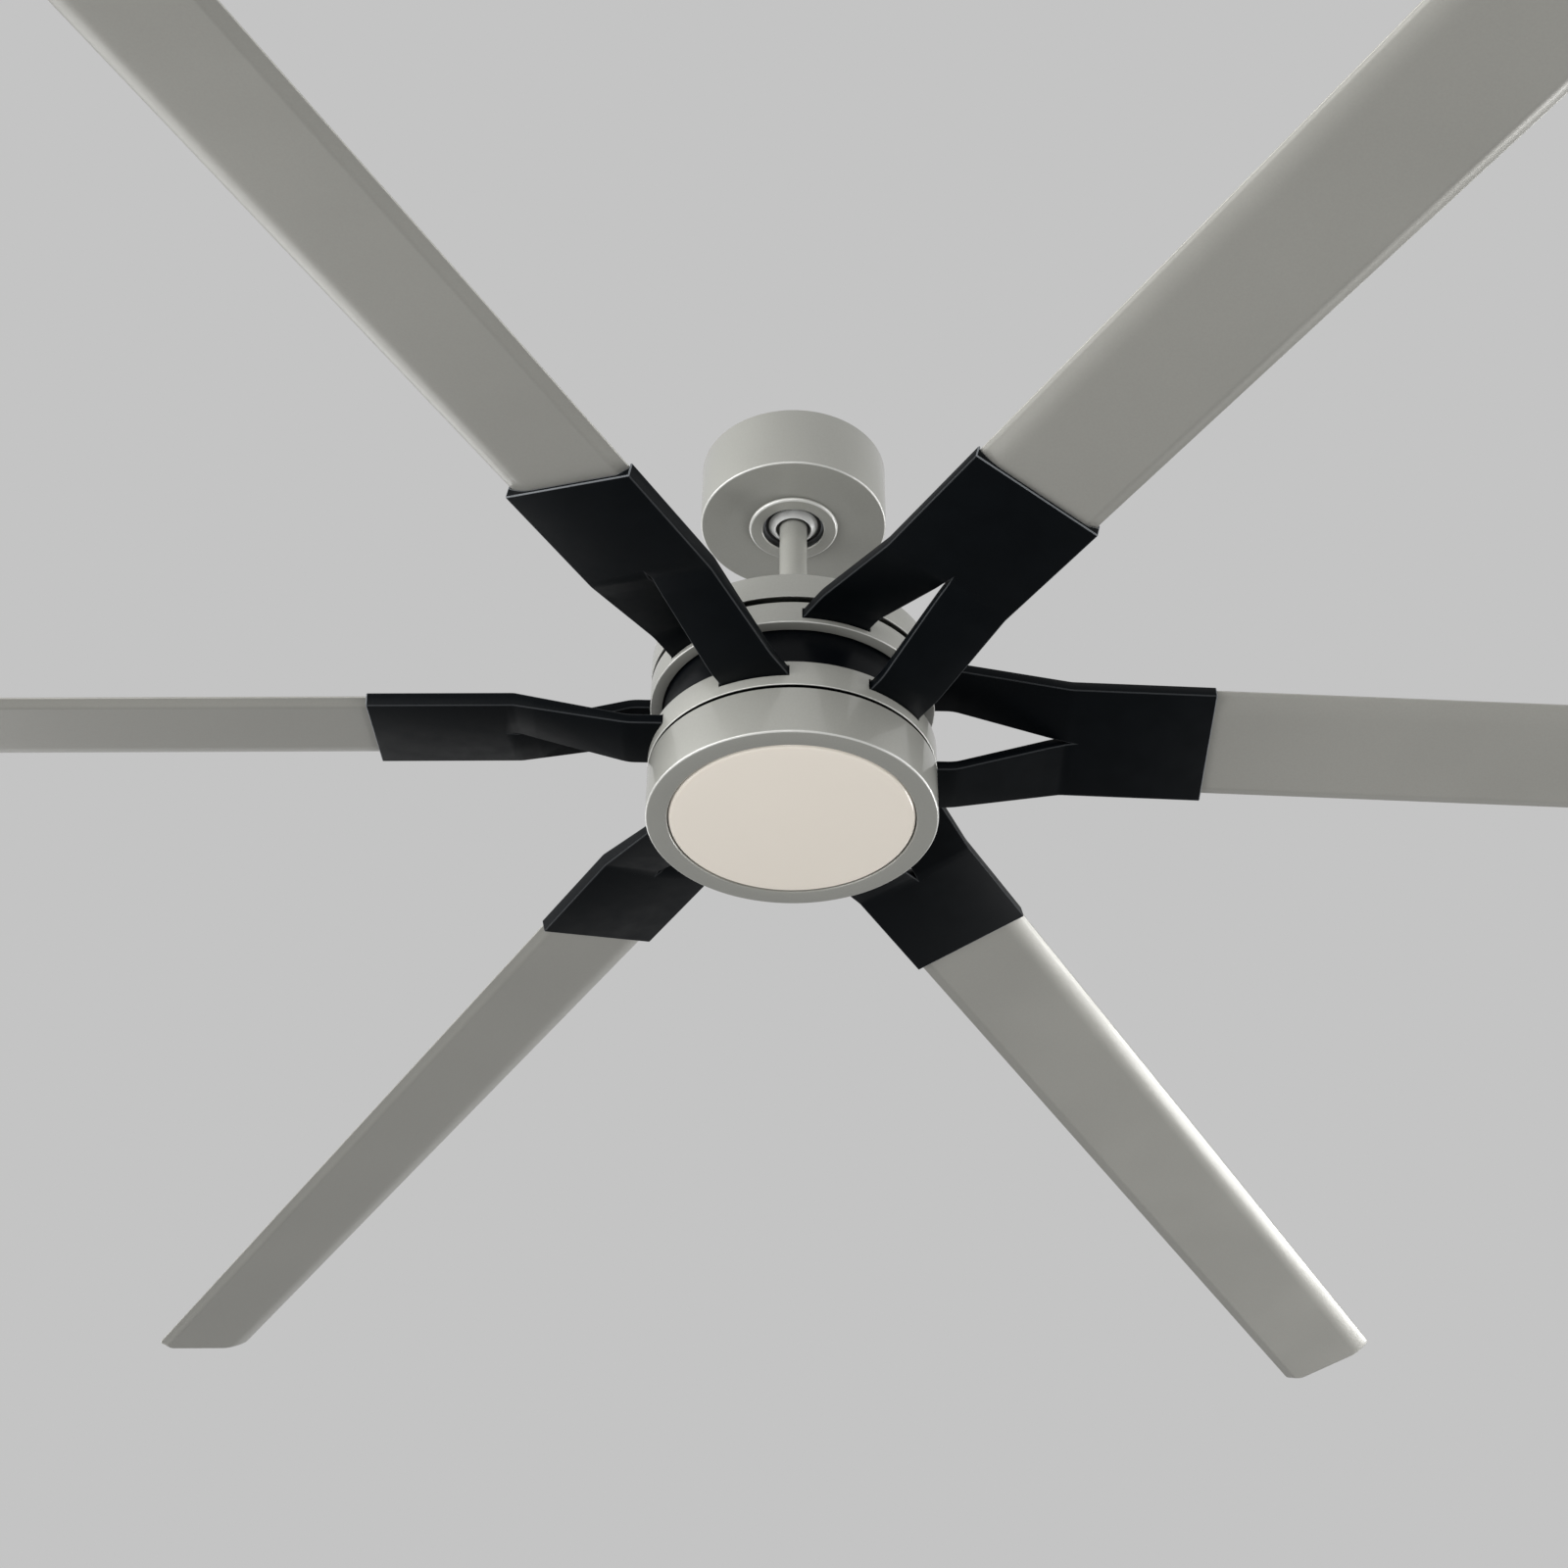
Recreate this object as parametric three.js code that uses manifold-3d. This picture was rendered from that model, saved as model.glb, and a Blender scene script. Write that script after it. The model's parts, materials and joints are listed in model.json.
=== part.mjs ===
// A six-blade ceiling fan with a round light, hung from a ball socket in a ceiling bracket.
// Millimetres, +Z up. The ceiling is the plane z = 0, and the first blade points along +X.
import * as THREE from "three";
import { mergeVertices } from "three/addons/utils/BufferGeometryUtils.js";
import Module from "manifold-3d";

// Clearances and overruns
const seat = 0.3; // between two pieces that touch
const slotPlay = 0.7; // round a bracket tab in the slot of a cover ring
const lensPlay = 0.8; // between the lens and the ring round it
const weldTolerance = 1e-4; // corners nearer than this are one corner
const cutOver = 2; // how far a cutting shape runs past what it cuts
const joinOver = 0.6; // how far two forms of one casting run into each other

// How finely the round pieces are faceted
const ringSides = 36;
const trimSides = 30;
const hubSides = 24;
const rodSides = 16;
const screwSides = 8;
const cornerSteps = 2;
const crispSteps = 1;
const socketSteps = 3;
const ballSteps = 6;
const domeSteps = 2;

// The stack of heights, from the ceiling down
const canopyHeight = 58;
const rodShows = 143; // from the canopy's underside to the top of the cap
const capHeight = 22.8;
const capGap = 5.5;
const upperRingHeight = 18.8;
const drumShows = 36.4; // between the two cover rings
const lowerRingHeight = 21.6;
const lightGap = 2.5;
const lightHeight = 39.4;

const canopyBottom = -canopyHeight;
const capTop = canopyBottom - rodShows;
const capBottom = capTop - capHeight;
const upperRingTop = capBottom - capGap;
const upperRingBottom = upperRingTop - upperRingHeight;
const lowerRingTop = upperRingBottom - drumShows;
const lowerRingBottom = lowerRingTop - lowerRingHeight;
const lightTop = lowerRingBottom - lightGap;
const lightBottom = lightTop - lightHeight;

// Hub covers
const hubRadius = 107;
const coverWall = 1.5;
const coverEdge = 3; // rounding of the cap's and the light's outer edge
const ringLip = 1.2; // thickness of a cover ring's inward lip
const lipReach = 9.2; // how far that lip comes inwards

// Canopy and the trim ring under it
const canopyRadius = 73.8;
const canopyWall = 1.2;
const canopyEdge = 2.4;
const ceilingGap = 0.5;
const trimRadius = 35.4;
const trimHeight = 3.4;
const trimWall = 1;
const trimHole = 23.3;
const trimEdge = 0.8;

// Hanger ball, its liner and the socket
const ballRadius = 26;
const ballAboveTrim = 22; // ball centre above the trim ring's face
const ballTopFlat = 18; // flat top above the ball's centre
const ballMouth = 14;
const ballMouthDepth = 6;
const linerWall = 1.5;
const linerTopDrop = 4.2; // liner's upper edge below the ball's centre
const ballCentre = canopyBottom - trimHeight + ballAboveTrim;
const linerInner = ballRadius + seat;
const linerOuter = linerInner + linerWall;
const socketRadius = linerOuter + seat;

// Ceiling bracket
const strapLength = 132;
const strapWidth = 38;
const strapThick = 2.2;
const strapTurnDown = 8;
const boxScrewSpacing = 88.9; // between the two slots, for a 3.5 inch ceiling box
const boxSlotLength = 16;
const boxSlotWidth = 5.6;
const legThick = 2.5;
const legWidth = 26;
const cradleWall = 5.4; // outside the socket at its widest
const flangeThick = 3;
const flangeReach = 2.5; // flange beyond the cradle
const entryPlay = 1; // each side of the rod in the cradle's entry

// Downrod, pins and coupler
const rodRadius = 10.9;
const rodWall = 2.9;
const rodAboveBall = 2.4;
const pinRadius = 3;
const ballPinRise = 8; // above the ball's centre
const ballPinInset = 2.7; // pin end inside the ball's surface
const couplerTopAboveCap = 36;
const couplerWall = 5.8;
const couplerPinDrop = 15; // below the coupler's top
const couplerPinProud = 1.5;
const couplerFlange = 30;
const couplerFlangeThick = 3.7;
const rodBottomAboveCap = 5;
const couplerWeb = 3.4;
const couplerNeckWall = 6.2;
const couplerNeckBelowCap = 21;
const couplingCoverRadius = 27;
const couplingCoverHeight = 42;
const couplingCoverWall = 1.2;
const couplingCoverShoulder = 14;

// Hollow motor shaft and bearings
const shaftRadius = 8.5;
const shaftWall = 3;
const shaftCollar = 12.4;
const bearingRadius = 17.5;
const bearingHeight = 8;
const bearingGroove = 0.8; // depth of the seals' dish in each face
const hubLipInner = 14;

// Blade brackets
const bladeCount = 6;
const pitchDegrees = 13.7;
const droopDegrees = 1.6;
const bracketWidth = 100.7; // across the tray, along the blade's chord
const armLevel = 14; // beyond the hub, where the two arms turn level
const armLength = 83.5; // from there out to the tray
const trayLength = 106.8;
const trayFloor = 3;
const trayWallHeight = 10.4;
const trayRoot = 9.5; // solid length before the blade's root
const armSlit = 0.9; // half the slit between the arms
const tabThick = 7.9;
const tabLength = 37; // inside the hub's radius
const lowerTabRise = 9; // tab above its ring's lower edge
const upperTabRise = 4.5;
const bladePlaneRise = 4.65; // tray's plane at the axis, above the middle of the two tab levels
const slotNotch = 1.9; // how far a cover ring's slot runs past its tab towards the other arm
const armBend = hubRadius + armLevel;
const trayStart = armBend + armLength;
const trayEnd = trayStart + trayLength;
const tabEnd = hubRadius - tabLength;

// Blades
const bladeTip = 1219;
const bladeInset = 1.9; // each edge inside the bracket's side
const bladeSkin = 1.6;
const bladeThick = 9.5;
const edgeThick = 1.6;
const leadRise = 4.4; // how far the leading edge curls up
const leadCurl = 19.3; // width of that curl
const trailRise = 3.9;
const trailFold = 8.1; // width of the folded trailing strip
const hollowInset = 4.2;
const tipWall = 2;
const tipCorner = 10;
const curlSteps = 2;
const crownSteps = 4;

// Blade clamps, one plate and two screws each
const clampLength = 74;
const clampWidth = 26;
const clampThick = 2.5;
const clampScrews = 2;
const clampScrewSpacing = 46;
const clampCorner = 5;
const bladeScrewRadius = 2.4;
const bladeScrewHead = 4.3;
const bladeScrewHeadHeight = 2.8;
const bladeScrewBite = 2.2; // into the tray's floor

// Rotor
const drumInset = 1.3; // inside the cover rings' lips
const drumRadius = hubRadius - lipReach - drumInset;
const drumWall = 4.5;
const magnetThick = 4.7;
const magnetHeight = 32;
const lowerPlateFloor = 3.6;
const clampRingInset = 5.5; // inside the upper cover ring's wall
const clampRingWidth = 34;
const clampRingOuter = hubRadius - coverWall - clampRingInset;
const clampRingInner = clampRingOuter - clampRingWidth;
const clampRingThick = 3;
const bracketScrewRadius = 2.5;
const bracketScrewHead = 4.6;
const bracketScrewHeadHeight = 2.6;
const bracketScrewInset = 12; // from the tab's inner end
const bracketScrewBite = 2; // into the upper plate's pocket floor

// Stator
const airGap = 0.8;
const statorHeight = 24;
const toothCount = 12;
const toothLength = 34.2; // from the yoke to the air gap
const yokeWidth = 12;
const toothHalfWidth = 6.5;
const shoeThick = 4.2;
const shoeAngleShare = 0.82; // of the tooth pitch
const windingOver = 5.5; // end turns beyond the core
const windingInset = 1.5; // below the tooth shoes
const statorHubHeight = 10;

// Driver board in the cap
const boardInset = 19; // board's edge inside the cap
const boardOuter = hubRadius - boardInset;
const boardInner = 34;
const boardThick = 1.6;
const boardDrop = 9.5; // standoff length
const standoffCount = 3;
const standoffRadius = 4;
const standoffInset = 18;
const standoffPlace = boardOuter - standoffInset;
const capacitorCount = 4;
const capacitorRadius = 7;
const capacitorHeight = 6.5;
const capacitorInset = 32;
const capacitorPlace = boardOuter - capacitorInset;

// Light
const lensInset = 16.5; // lens inside the light's outside
const lensRadius = hubRadius - lensInset;
const lensWall = 2;
const lensCrown = 2.2; // how far the middle of its face is below its rim
const lensEdge = 2.4; // rounding of its rim
const lensSkirt = 11.5; // above the light ring's lower face
const lugCount = 3; // round the lens, and as many hooks that hold them
const lugReach = 2;
const lugThick = 1.5;
const lugHalfAngle = 8;
const hookHalfAngle = 12;
const lugBelowSkirtTop = 1.2;
const panWall = 1.5;
const panPlate = 1.8;
const postCount = 3;
const postRadius = 3.4;
const postLength = 17.6;
const ledBoardInset = 10.5; // inside the lens
const ledBoardRadius = lensRadius - ledBoardInset;
const postInset = 14; // inside the board's edge
const postPlace = ledBoardRadius - postInset;
const ledBoardThick = 1.6;
const ledChip = 5;
const ledChipHeight = 1;
const ledOuterPlace = postPlace;
const ledInnerPlace = 36;
const ledOuterCount = 8;
const ledInnerCount = 4;
const nutSides = 6;
const nutFlats = 24; // across its flats
const nutHeight = 6.5;
const shaftBelowNut = 1;
const driverLength = 62;
const driverWidth = 34;
const driverHeight = 14;
const driverPlace = 36;
const driverCorner = 3;

// Receiver and canopy screws
const receiverLength = 68;
const receiverDepth = 24;
const receiverHeight = 34;
const receiverCorner = 3;
const canopyScrewRadius = 2;
const canopyScrewHead = 3.7;
const canopyScrewHeadHeight = 1.8;
const canopyScrewPlace = 30;
const canopyScrewTurnDegrees = 45;
const canopyScrewPast = 1.5; // beyond the flange

// Wiring through the rod and the shaft
const wiringRadius = 2.1;
const wiringSides = 8;
const wiringAboveRod = 7;
const wiringBelowShaft = 3;
const wiringJogAboveShaft = 1;

const wasm = await Module();
wasm.setup();

const radians = THREE.MathUtils.degToRad;
const turnAboutAxis = (index, count) => (index * 2 * Math.PI) / count;

// A closed three.js geometry as a solid.
function solidOf(geometry) {
  const bare = (geometry.index ? geometry.toNonIndexed() : geometry).clone();
  bare.deleteAttribute("normal");
  bare.deleteAttribute("uv");
  const merged = mergeVertices(bare, weldTolerance);
  const corners = Array.from(merged.index.array);
  const faces = [];
  for (let i = 0; i < corners.length; i += 3) {
    const [a, b, c] = corners.slice(i, i + 3);
    if (a !== b && b !== c && c !== a) faces.push(a, b, c);
  }
  const build = (triangles) =>
    new wasm.Manifold(
      new wasm.Mesh({
        numProp: 3,
        vertProperties: new Float32Array(merged.attributes.position.array),
        triVerts: new Uint32Array(triangles),
      }),
    );
  const solid = build(faces);
  return solid.volume() < 0 ? build(faces.reverse()) : solid;
}

// A solid as a geometry that a mesh can hold.
function geometryOf(solid) {
  const { vertProperties, triVerts } = solid.getMesh();
  const geometry = new THREE.BufferGeometry();
  geometry.setAttribute("position", new THREE.BufferAttribute(new Float32Array(vertProperties), 3));
  geometry.setIndex(new THREE.BufferAttribute(new Uint32Array(triVerts), 1));
  const flat = geometry.toNonIndexed();
  flat.computeVertexNormals();
  return flat;
}

const joined = (solids) => solids.reduce((whole, next) => whole.add(next));
const without = (solid, cuts) => cuts.reduce((rest, cut) => rest.subtract(cut), solid);

// Points of a round stretch, from one angle to another.
function arc(x, y, radius, fromDegrees, toDegrees, steps) {
  return Array.from({ length: steps + 1 }, (_, i) => {
    const angle = radians(fromDegrees + ((toDegrees - fromDegrees) * i) / steps);
    return [x + radius * Math.cos(angle), y + radius * Math.sin(angle)];
  });
}

// A closed outline of [radius, height] turned about the fan's axis.
function turned(outline, sides) {
  const points = [...outline, outline[0]].map(([r, z]) => new THREE.Vector2(Math.max(r, 0), z));
  return solidOf(new THREE.LatheGeometry(points, sides).rotateX(Math.PI / 2));
}

// A plain ring or, with no inner radius, a disc.
function ring(inner, outer, bottom, top, sides) {
  return turned([[inner, bottom], [outer, bottom], [outer, top], [inner, top]], sides);
}

function shapeOf(points) {
  return new THREE.Shape(points.map(([x, y]) => new THREE.Vector2(x, y)));
}

// An outline in the XY plane, raised from one height to another.
function raised(points, bottom, top) {
  const options = { depth: top - bottom, bevelEnabled: false };
  return new THREE.ExtrudeGeometry(shapeOf(points), options).translate(0, 0, bottom);
}

// A closed profile in the YZ plane, run along X.
function alongX(points, start, end) {
  const options = { depth: end - start, bevelEnabled: false };
  const bar = new THREE.ExtrudeGeometry(shapeOf(points), options).translate(0, 0, start);
  const axes = new THREE.Matrix4().set(0, 0, 1, 0, 1, 0, 0, 0, 0, 1, 0, 0, 0, 0, 0, 1);
  return bar.applyMatrix4(axes);
}

function block([x0, x1], [y0, y1], [z0, z1]) {
  const box = new THREE.BoxGeometry(x1 - x0, y1 - y0, z1 - z0);
  return box.translate((x0 + x1) / 2, (y0 + y1) / 2, (z0 + z1) / 2);
}

// A rectangle with round corners, centred on a point.
function roundedRectangle(x, y, length, width, corner, steps) {
  const px = length / 2 - corner;
  const py = width / 2 - corner;
  return [
    ...arc(x + px, y + py, corner, 0, 90, steps),
    ...arc(x - px, y + py, corner, 90, 180, steps),
    ...arc(x - px, y - py, corner, 180, 270, steps),
    ...arc(x + px, y - py, corner, 270, 360, steps),
  ];
}

// An upright round bar at a place, and a level one along X.
function upright(x, y, radius, bottom, top, sides) {
  const bar = new THREE.CylinderGeometry(radius, radius, top - bottom, sides).rotateX(Math.PI / 2);
  return bar.translate(x, y, (bottom + top) / 2);
}
function levelBar(radius, halfLength, z, sides) {
  const bar = new THREE.CylinderGeometry(radius, radius, 2 * halfLength, sides).rotateZ(Math.PI / 2);
  return bar.translate(0, 0, z);
}

// A form skinned over a row of sections that have the same number of corners.
function loft(sections) {
  const count = sections[0].length;
  const faces = [];
  sections.slice(1).forEach((far, i) => {
    const near = sections[i];
    for (let k = 0; k < count; k += 1) {
      const next = (k + 1) % count;
      faces.push(near[k], near[next], far[next], near[k], far[next], far[k]);
    }
  });
  const [first, last] = [sections[0], sections[sections.length - 1]];
  for (let k = 1; k < count - 1; k += 1) {
    faces.push(first[0], first[k + 1], first[k], last[0], last[k], last[k + 1]);
  }
  const geometry = new THREE.BufferGeometry().setFromPoints(faces);
  return solidOf(geometry);
}

// The same cut or copy at each blade, or at any number of places round the axis.
function aboutAxis(count, make) {
  return Array.from({ length: count }, (_, i) => solidOf(make(i).rotateZ(turnAboutAxis(i, count))));
}

// Materials
function finish(color, metalness, roughness) {
  return new THREE.MeshStandardMaterial({ color, metalness, roughness });
}
const silverPaint = finish("#a7a8a2", 0.35, 0.42);
const bladePaint = finish("#9a9b95", 0.4, 0.4);
const blackCasting = finish("#16191a", 0.1, 0.5);
const drumBlack = finish("#1c1d1f", 0.2, 0.45);
const opalLens = finish("#d9d2ca", 0, 0.35);
const whiteNylon = finish("#d6d8d8", 0, 0.5);
const blackNylon = finish("#101112", 0, 0.6);
const zincSteel = finish("#8f9296", 0.8, 0.4);
const darkSteel = finish("#4a4c50", 0.8, 0.45);
const castAluminium = finish("#86898b", 0.7, 0.5);
const brightSteel = finish("#b9bcc0", 0.9, 0.25);
const copperWire = finish("#a45a32", 0.7, 0.4);
const magnetGrey = finish("#33353a", 0.4, 0.5);
const boardGreen = finish("#2c5a3c", 0, 0.6);
const boardWhite = finish("#e6e6e2", 0, 0.5);
const receiverBlack = finish("#202224", 0, 0.55);
const wiringGrey = finish("#3a3c3f", 0, 0.7);

const fan = new THREE.Group();

function place(name, solid, material, parent = fan) {
  const mesh = new THREE.Mesh(geometryOf(solid), material);
  mesh.name = name;
  parent.add(mesh);
  return mesh;
}

// The ceiling bracket: a strap under the ceiling box, two legs and a cradle for the ball
const cradleOuter = socketRadius + cradleWall;
const cradleBottom = canopyBottom + canopyWall + seat;
const cradleTop = ballCentre - linerTopDrop;
const flangeOuter = cradleOuter + flangeReach;
const flangeTop = cradleBottom + flangeThick;
const canopyScrewAt = [0, 1].map((side) => {
  const angle = radians(canopyScrewTurnDegrees) + side * Math.PI;
  return [canopyScrewPlace * Math.cos(angle), canopyScrewPlace * Math.sin(angle)];
});

// The socket's wall from one depth below the ball's centre to another.
function sphereWall(radius, lowZ, highZ, steps) {
  return Array.from({ length: steps + 1 }, (_, i) => {
    const z = lowZ + ((highZ - lowZ) * i) / steps;
    return [Math.sqrt(radius ** 2 - (z - ballCentre) ** 2), z];
  });
}

function makeBracket() {
  const half = strapLength / 2;
  const strap = block([-half, half], [-strapWidth / 2, strapWidth / 2], [-strapThick, 0]);
  const turnDowns = [-1, 1].map((side) => {
    const outer = side * half;
    const xs = [outer, outer - side * strapThick].sort((a, b) => a - b);
    return block(xs, [-strapWidth / 2, strapWidth / 2], [-strapTurnDown, 0]);
  });
  const legs = [-1, 1].map((side) => {
    const inner = side * (cradleOuter - joinOver);
    const xs = [inner, inner + side * legThick].sort((a, b) => a - b);
    return block(xs, [-legWidth / 2, legWidth / 2], [cradleBottom, -strapThick + joinOver]);
  });
  const cradle = turned(
    [
      ...sphereWall(socketRadius, cradleBottom, cradleTop, socketSteps),
      [cradleOuter, cradleTop],
      [cradleOuter, flangeTop],
      [flangeOuter, flangeTop],
      [flangeOuter, cradleBottom],
    ],
    hubSides,
  );
  const entryHalf = rodRadius + entryPlay;
  const cradleSpan = [cradleBottom - cutOver, cradleTop + cutOver];
  const entry = block([-entryHalf, entryHalf], [-flangeOuter - cutOver, 0], cradleSpan);
  const screwHoles = canopyScrewAt.map(([x, y]) =>
    upright(x, y, canopyScrewRadius + seat, ...cradleSpan, screwSides),
  );
  const slots = [-1, 1].map((side) => {
    const outline = roundedRectangle(
      (side * boxScrewSpacing) / 2,
      0,
      boxSlotLength,
      boxSlotWidth,
      boxSlotWidth / 2 - seat,
      cornerSteps,
    );
    return raised(outline, -strapThick - cutOver, cutOver);
  });
  const body = joined([strap, ...turnDowns, ...legs].map(solidOf).concat(cradle));
  return without(body, [entry, ...screwHoles, ...slots].map(solidOf));
}
place("hanger_bracket", makeBracket(), zincSteel);

// The canopy, its two screws, and the trim ring that hides them
const trimBottom = canopyBottom - trimHeight;
const trimFloor = trimBottom + trimWall;
const canopyHole = trimHole + trimWall + seat;

function makeCanopy() {
  const inner = canopyRadius - canopyWall;
  const top = -ceilingGap;
  const floor = canopyBottom + canopyWall;
  const shell = turned(
    [
      [canopyRadius, top],
      [inner, top],
      [inner, floor],
      [canopyHole, floor],
      [canopyHole, canopyBottom],
      ...arc(canopyRadius - canopyEdge, canopyBottom + canopyEdge, canopyEdge, 270, 360, cornerSteps),
    ],
    ringSides,
  );
  const holes = canopyScrewAt.map(([x, y]) =>
    upright(x, y, canopyScrewRadius + seat, canopyBottom - cutOver, floor + cutOver, screwSides),
  );
  return without(shell, holes.map(solidOf));
}
place("canopy", makeCanopy(), silverPaint);

function makeTrimRing() {
  const collarTop = canopyBottom + canopyWall - seat;
  const rim = canopyBottom - seat;
  return turned(
    [
      [trimHole, trimBottom],
      ...arc(trimRadius - trimEdge, trimBottom + trimEdge, trimEdge, 270, 360, crispSteps),
      [trimRadius, rim],
      [trimRadius - trimWall, rim],
      [trimRadius - trimWall, trimFloor],
      [trimHole + trimWall, trimFloor],
      [trimHole + trimWall, collarTop],
      [trimHole, collarTop],
    ],
    trimSides,
  );
}
place("canopy_trim_ring", makeTrimRing(), silverPaint);

canopyScrewAt.forEach(([x, y], i) => {
  const headTop = canopyBottom - seat;
  const head = upright(x, y, canopyScrewHead, headTop - canopyScrewHeadHeight, headTop, screwSides);
  const shankTop = flangeTop + canopyScrewPast;
  const shank = upright(x, y, canopyScrewRadius, headTop - joinOver, shankTop, screwSides);
  place(`canopy_screw_${i + 1}`, joined([head, shank].map(solidOf)), zincSteel);
});

// The remote control's receiver, resting on the canopy's floor behind the cradle
const receiverFront = flangeOuter + seat;
const receiverFoot = canopyBottom + canopyWall + seat;
const receiverOutline = roundedRectangle(
  0,
  receiverFront + receiverDepth / 2,
  receiverLength,
  receiverDepth,
  receiverCorner,
  cornerSteps,
);
const receiverBox = raised(receiverOutline, receiverFoot, receiverFoot + receiverHeight);
place("receiver", solidOf(receiverBox), receiverBlack);

// The ball's liner, the hanger ball and the pin through it
place(
  "ball_liner",
  turned(
    [
      ...sphereWall(linerInner, cradleBottom, cradleTop, socketSteps),
      ...sphereWall(linerOuter, cradleBottom, cradleTop, socketSteps).reverse(),
    ],
    hubSides,
  ),
  blackNylon,
);

const rodBore = rodRadius - rodWall;
const rodHole = rodRadius + seat;
const pinHole = pinRadius + seat;
const ballPinZ = ballCentre + ballPinRise;

function makeBall() {
  const mouthZ = ballCentre - Math.sqrt(ballRadius ** 2 - ballMouth ** 2);
  const topZ = ballCentre + ballTopFlat;
  const ball = turned(
    [
      [rodHole, topZ],
      ...sphereWall(ballRadius, mouthZ, topZ, ballSteps).reverse(),
      [ballMouth, mouthZ + ballMouthDepth],
      [rodHole, mouthZ + ballMouthDepth],
    ],
    hubSides,
  );
  return ball.subtract(solidOf(levelBar(pinHole, ballRadius + cutOver, ballPinZ, screwSides)));
}
place("hanger_ball", makeBall(), whiteNylon);

const ballPinHalf = Math.sqrt(ballRadius ** 2 - ballPinRise ** 2) - ballPinInset;
place("ball_pin", solidOf(levelBar(pinRadius, ballPinHalf, ballPinZ, screwSides)), brightSteel);

// The downrod, and the coupler that joins it to the motor's shaft
const rodTop = ballCentre + ballTopFlat + rodAboveBall;
const rodBottom = capTop + rodBottomAboveCap;
const couplerTop = capTop + couplerTopAboveCap;
const couplerPinZ = couplerTop - couplerPinDrop;
const couplerRadius = rodHole + couplerWall;
const couplerBottom = capTop - couplerNeckBelowCap;
const flangeTopUnderCap = capTop - coverWall - seat;
const webTop = rodBottom - seat;
const webBottom = webTop - couplerWeb;
const shaftTop = webBottom - seat;
const shaftHole = shaftRadius + seat;
const neckRadius = shaftHole + couplerNeckWall;

const rodTube = ring(rodBore, rodRadius, rodBottom, rodTop, rodSides);
const rodPinHoles = [ballPinZ, couplerPinZ].map((z) => levelBar(pinHole, rodRadius + cutOver, z, screwSides));
place("downrod", without(rodTube, rodPinHoles.map(solidOf)), silverPaint);

function makeCoupler() {
  const body = turned(
    [
      [rodHole, couplerTop],
      [couplerRadius, couplerTop],
      [couplerRadius, flangeTopUnderCap],
      [couplerFlange, flangeTopUnderCap],
      [couplerFlange, flangeTopUnderCap - couplerFlangeThick],
      [neckRadius, flangeTopUnderCap - couplerFlangeThick],
      [neckRadius, couplerBottom],
      [shaftHole, couplerBottom],
      [shaftHole, webBottom],
      [rodBore, webBottom],
      [rodBore, webTop],
      [rodHole, webTop],
    ],
    hubSides,
  );
  return body.subtract(solidOf(levelBar(pinHole, couplerRadius + cutOver, couplerPinZ, screwSides)));
}
place("coupler", makeCoupler(), castAluminium);
const couplerPinHalf = couplerRadius + couplerPinProud;
place("coupler_pin", solidOf(levelBar(pinRadius, couplerPinHalf, couplerPinZ, screwSides)), brightSteel);

function makeCouplingCover() {
  const foot = capTop + seat;
  const top = foot + couplingCoverHeight;
  const wall = couplingCoverWall;
  const shoulder = couplingCoverShoulder;
  const crownRadius = couplingCoverRadius - shoulder;
  return turned(
    [
      [couplingCoverRadius, foot],
      ...arc(crownRadius, top - shoulder, shoulder, 0, 90, cornerSteps),
      [rodHole, top],
      [rodHole, top - wall],
      ...arc(crownRadius, top - shoulder, shoulder - wall, 90, 0, cornerSteps),
      [couplingCoverRadius - wall, foot],
    ],
    hubSides,
  );
}
place("coupling_cover", makeCouplingCover(), silverPaint);

// The fixed cap over the motor
const capHole = couplerRadius + seat;
place(
  "upper_cap",
  turned(
    [
      [capHole, capTop],
      ...arc(hubRadius - coverEdge, capTop - coverEdge, coverEdge, 90, 0, cornerSteps),
      [hubRadius, capBottom],
      [hubRadius - coverWall, capBottom],
      [hubRadius - coverWall, capTop - coverWall],
      [capHole, capTop - coverWall],
    ],
    ringSides,
  ),
  silverPaint,
);

// The motor driver's board, hung on standoffs under the cap
function makeDriverBoard() {
  const standTop = capTop - coverWall - seat;
  const boardTop = standTop - boardDrop;
  const boardFoot = boardTop - boardThick;
  const board = ring(boardInner, boardOuter, boardFoot, boardTop, hubSides);
  const stands = aboutAxis(standoffCount, () =>
    upright(standoffPlace, 0, standoffRadius, boardTop - joinOver, standTop, screwSides),
  );
  const capacitors = aboutAxis(capacitorCount, () =>
    upright(0, capacitorPlace, capacitorRadius, boardTop - joinOver, boardTop + capacitorHeight, screwSides),
  );
  return joined([board, ...stands, ...capacitors]);
}
place("driver_board", makeDriverBoard(), boardGreen);

// Levels of the bracket tabs and of the rotor's two plates
const lowerTabBottom = lowerRingBottom + lowerTabRise;
const upperTabBottom = upperRingBottom + upperTabRise;
const lowerPlateTop = lowerTabBottom + tabThick;
const lowerPlateBottom = lowerTabBottom - seat - lowerPlateFloor;
const upperPlateTop = upperTabBottom + tabThick;
const upperPlateBottom = upperRingBottom + ringLip + seat;
const plateRadius = hubRadius - coverWall - seat;
const bearingHole = bearingRadius + seat;

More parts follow.
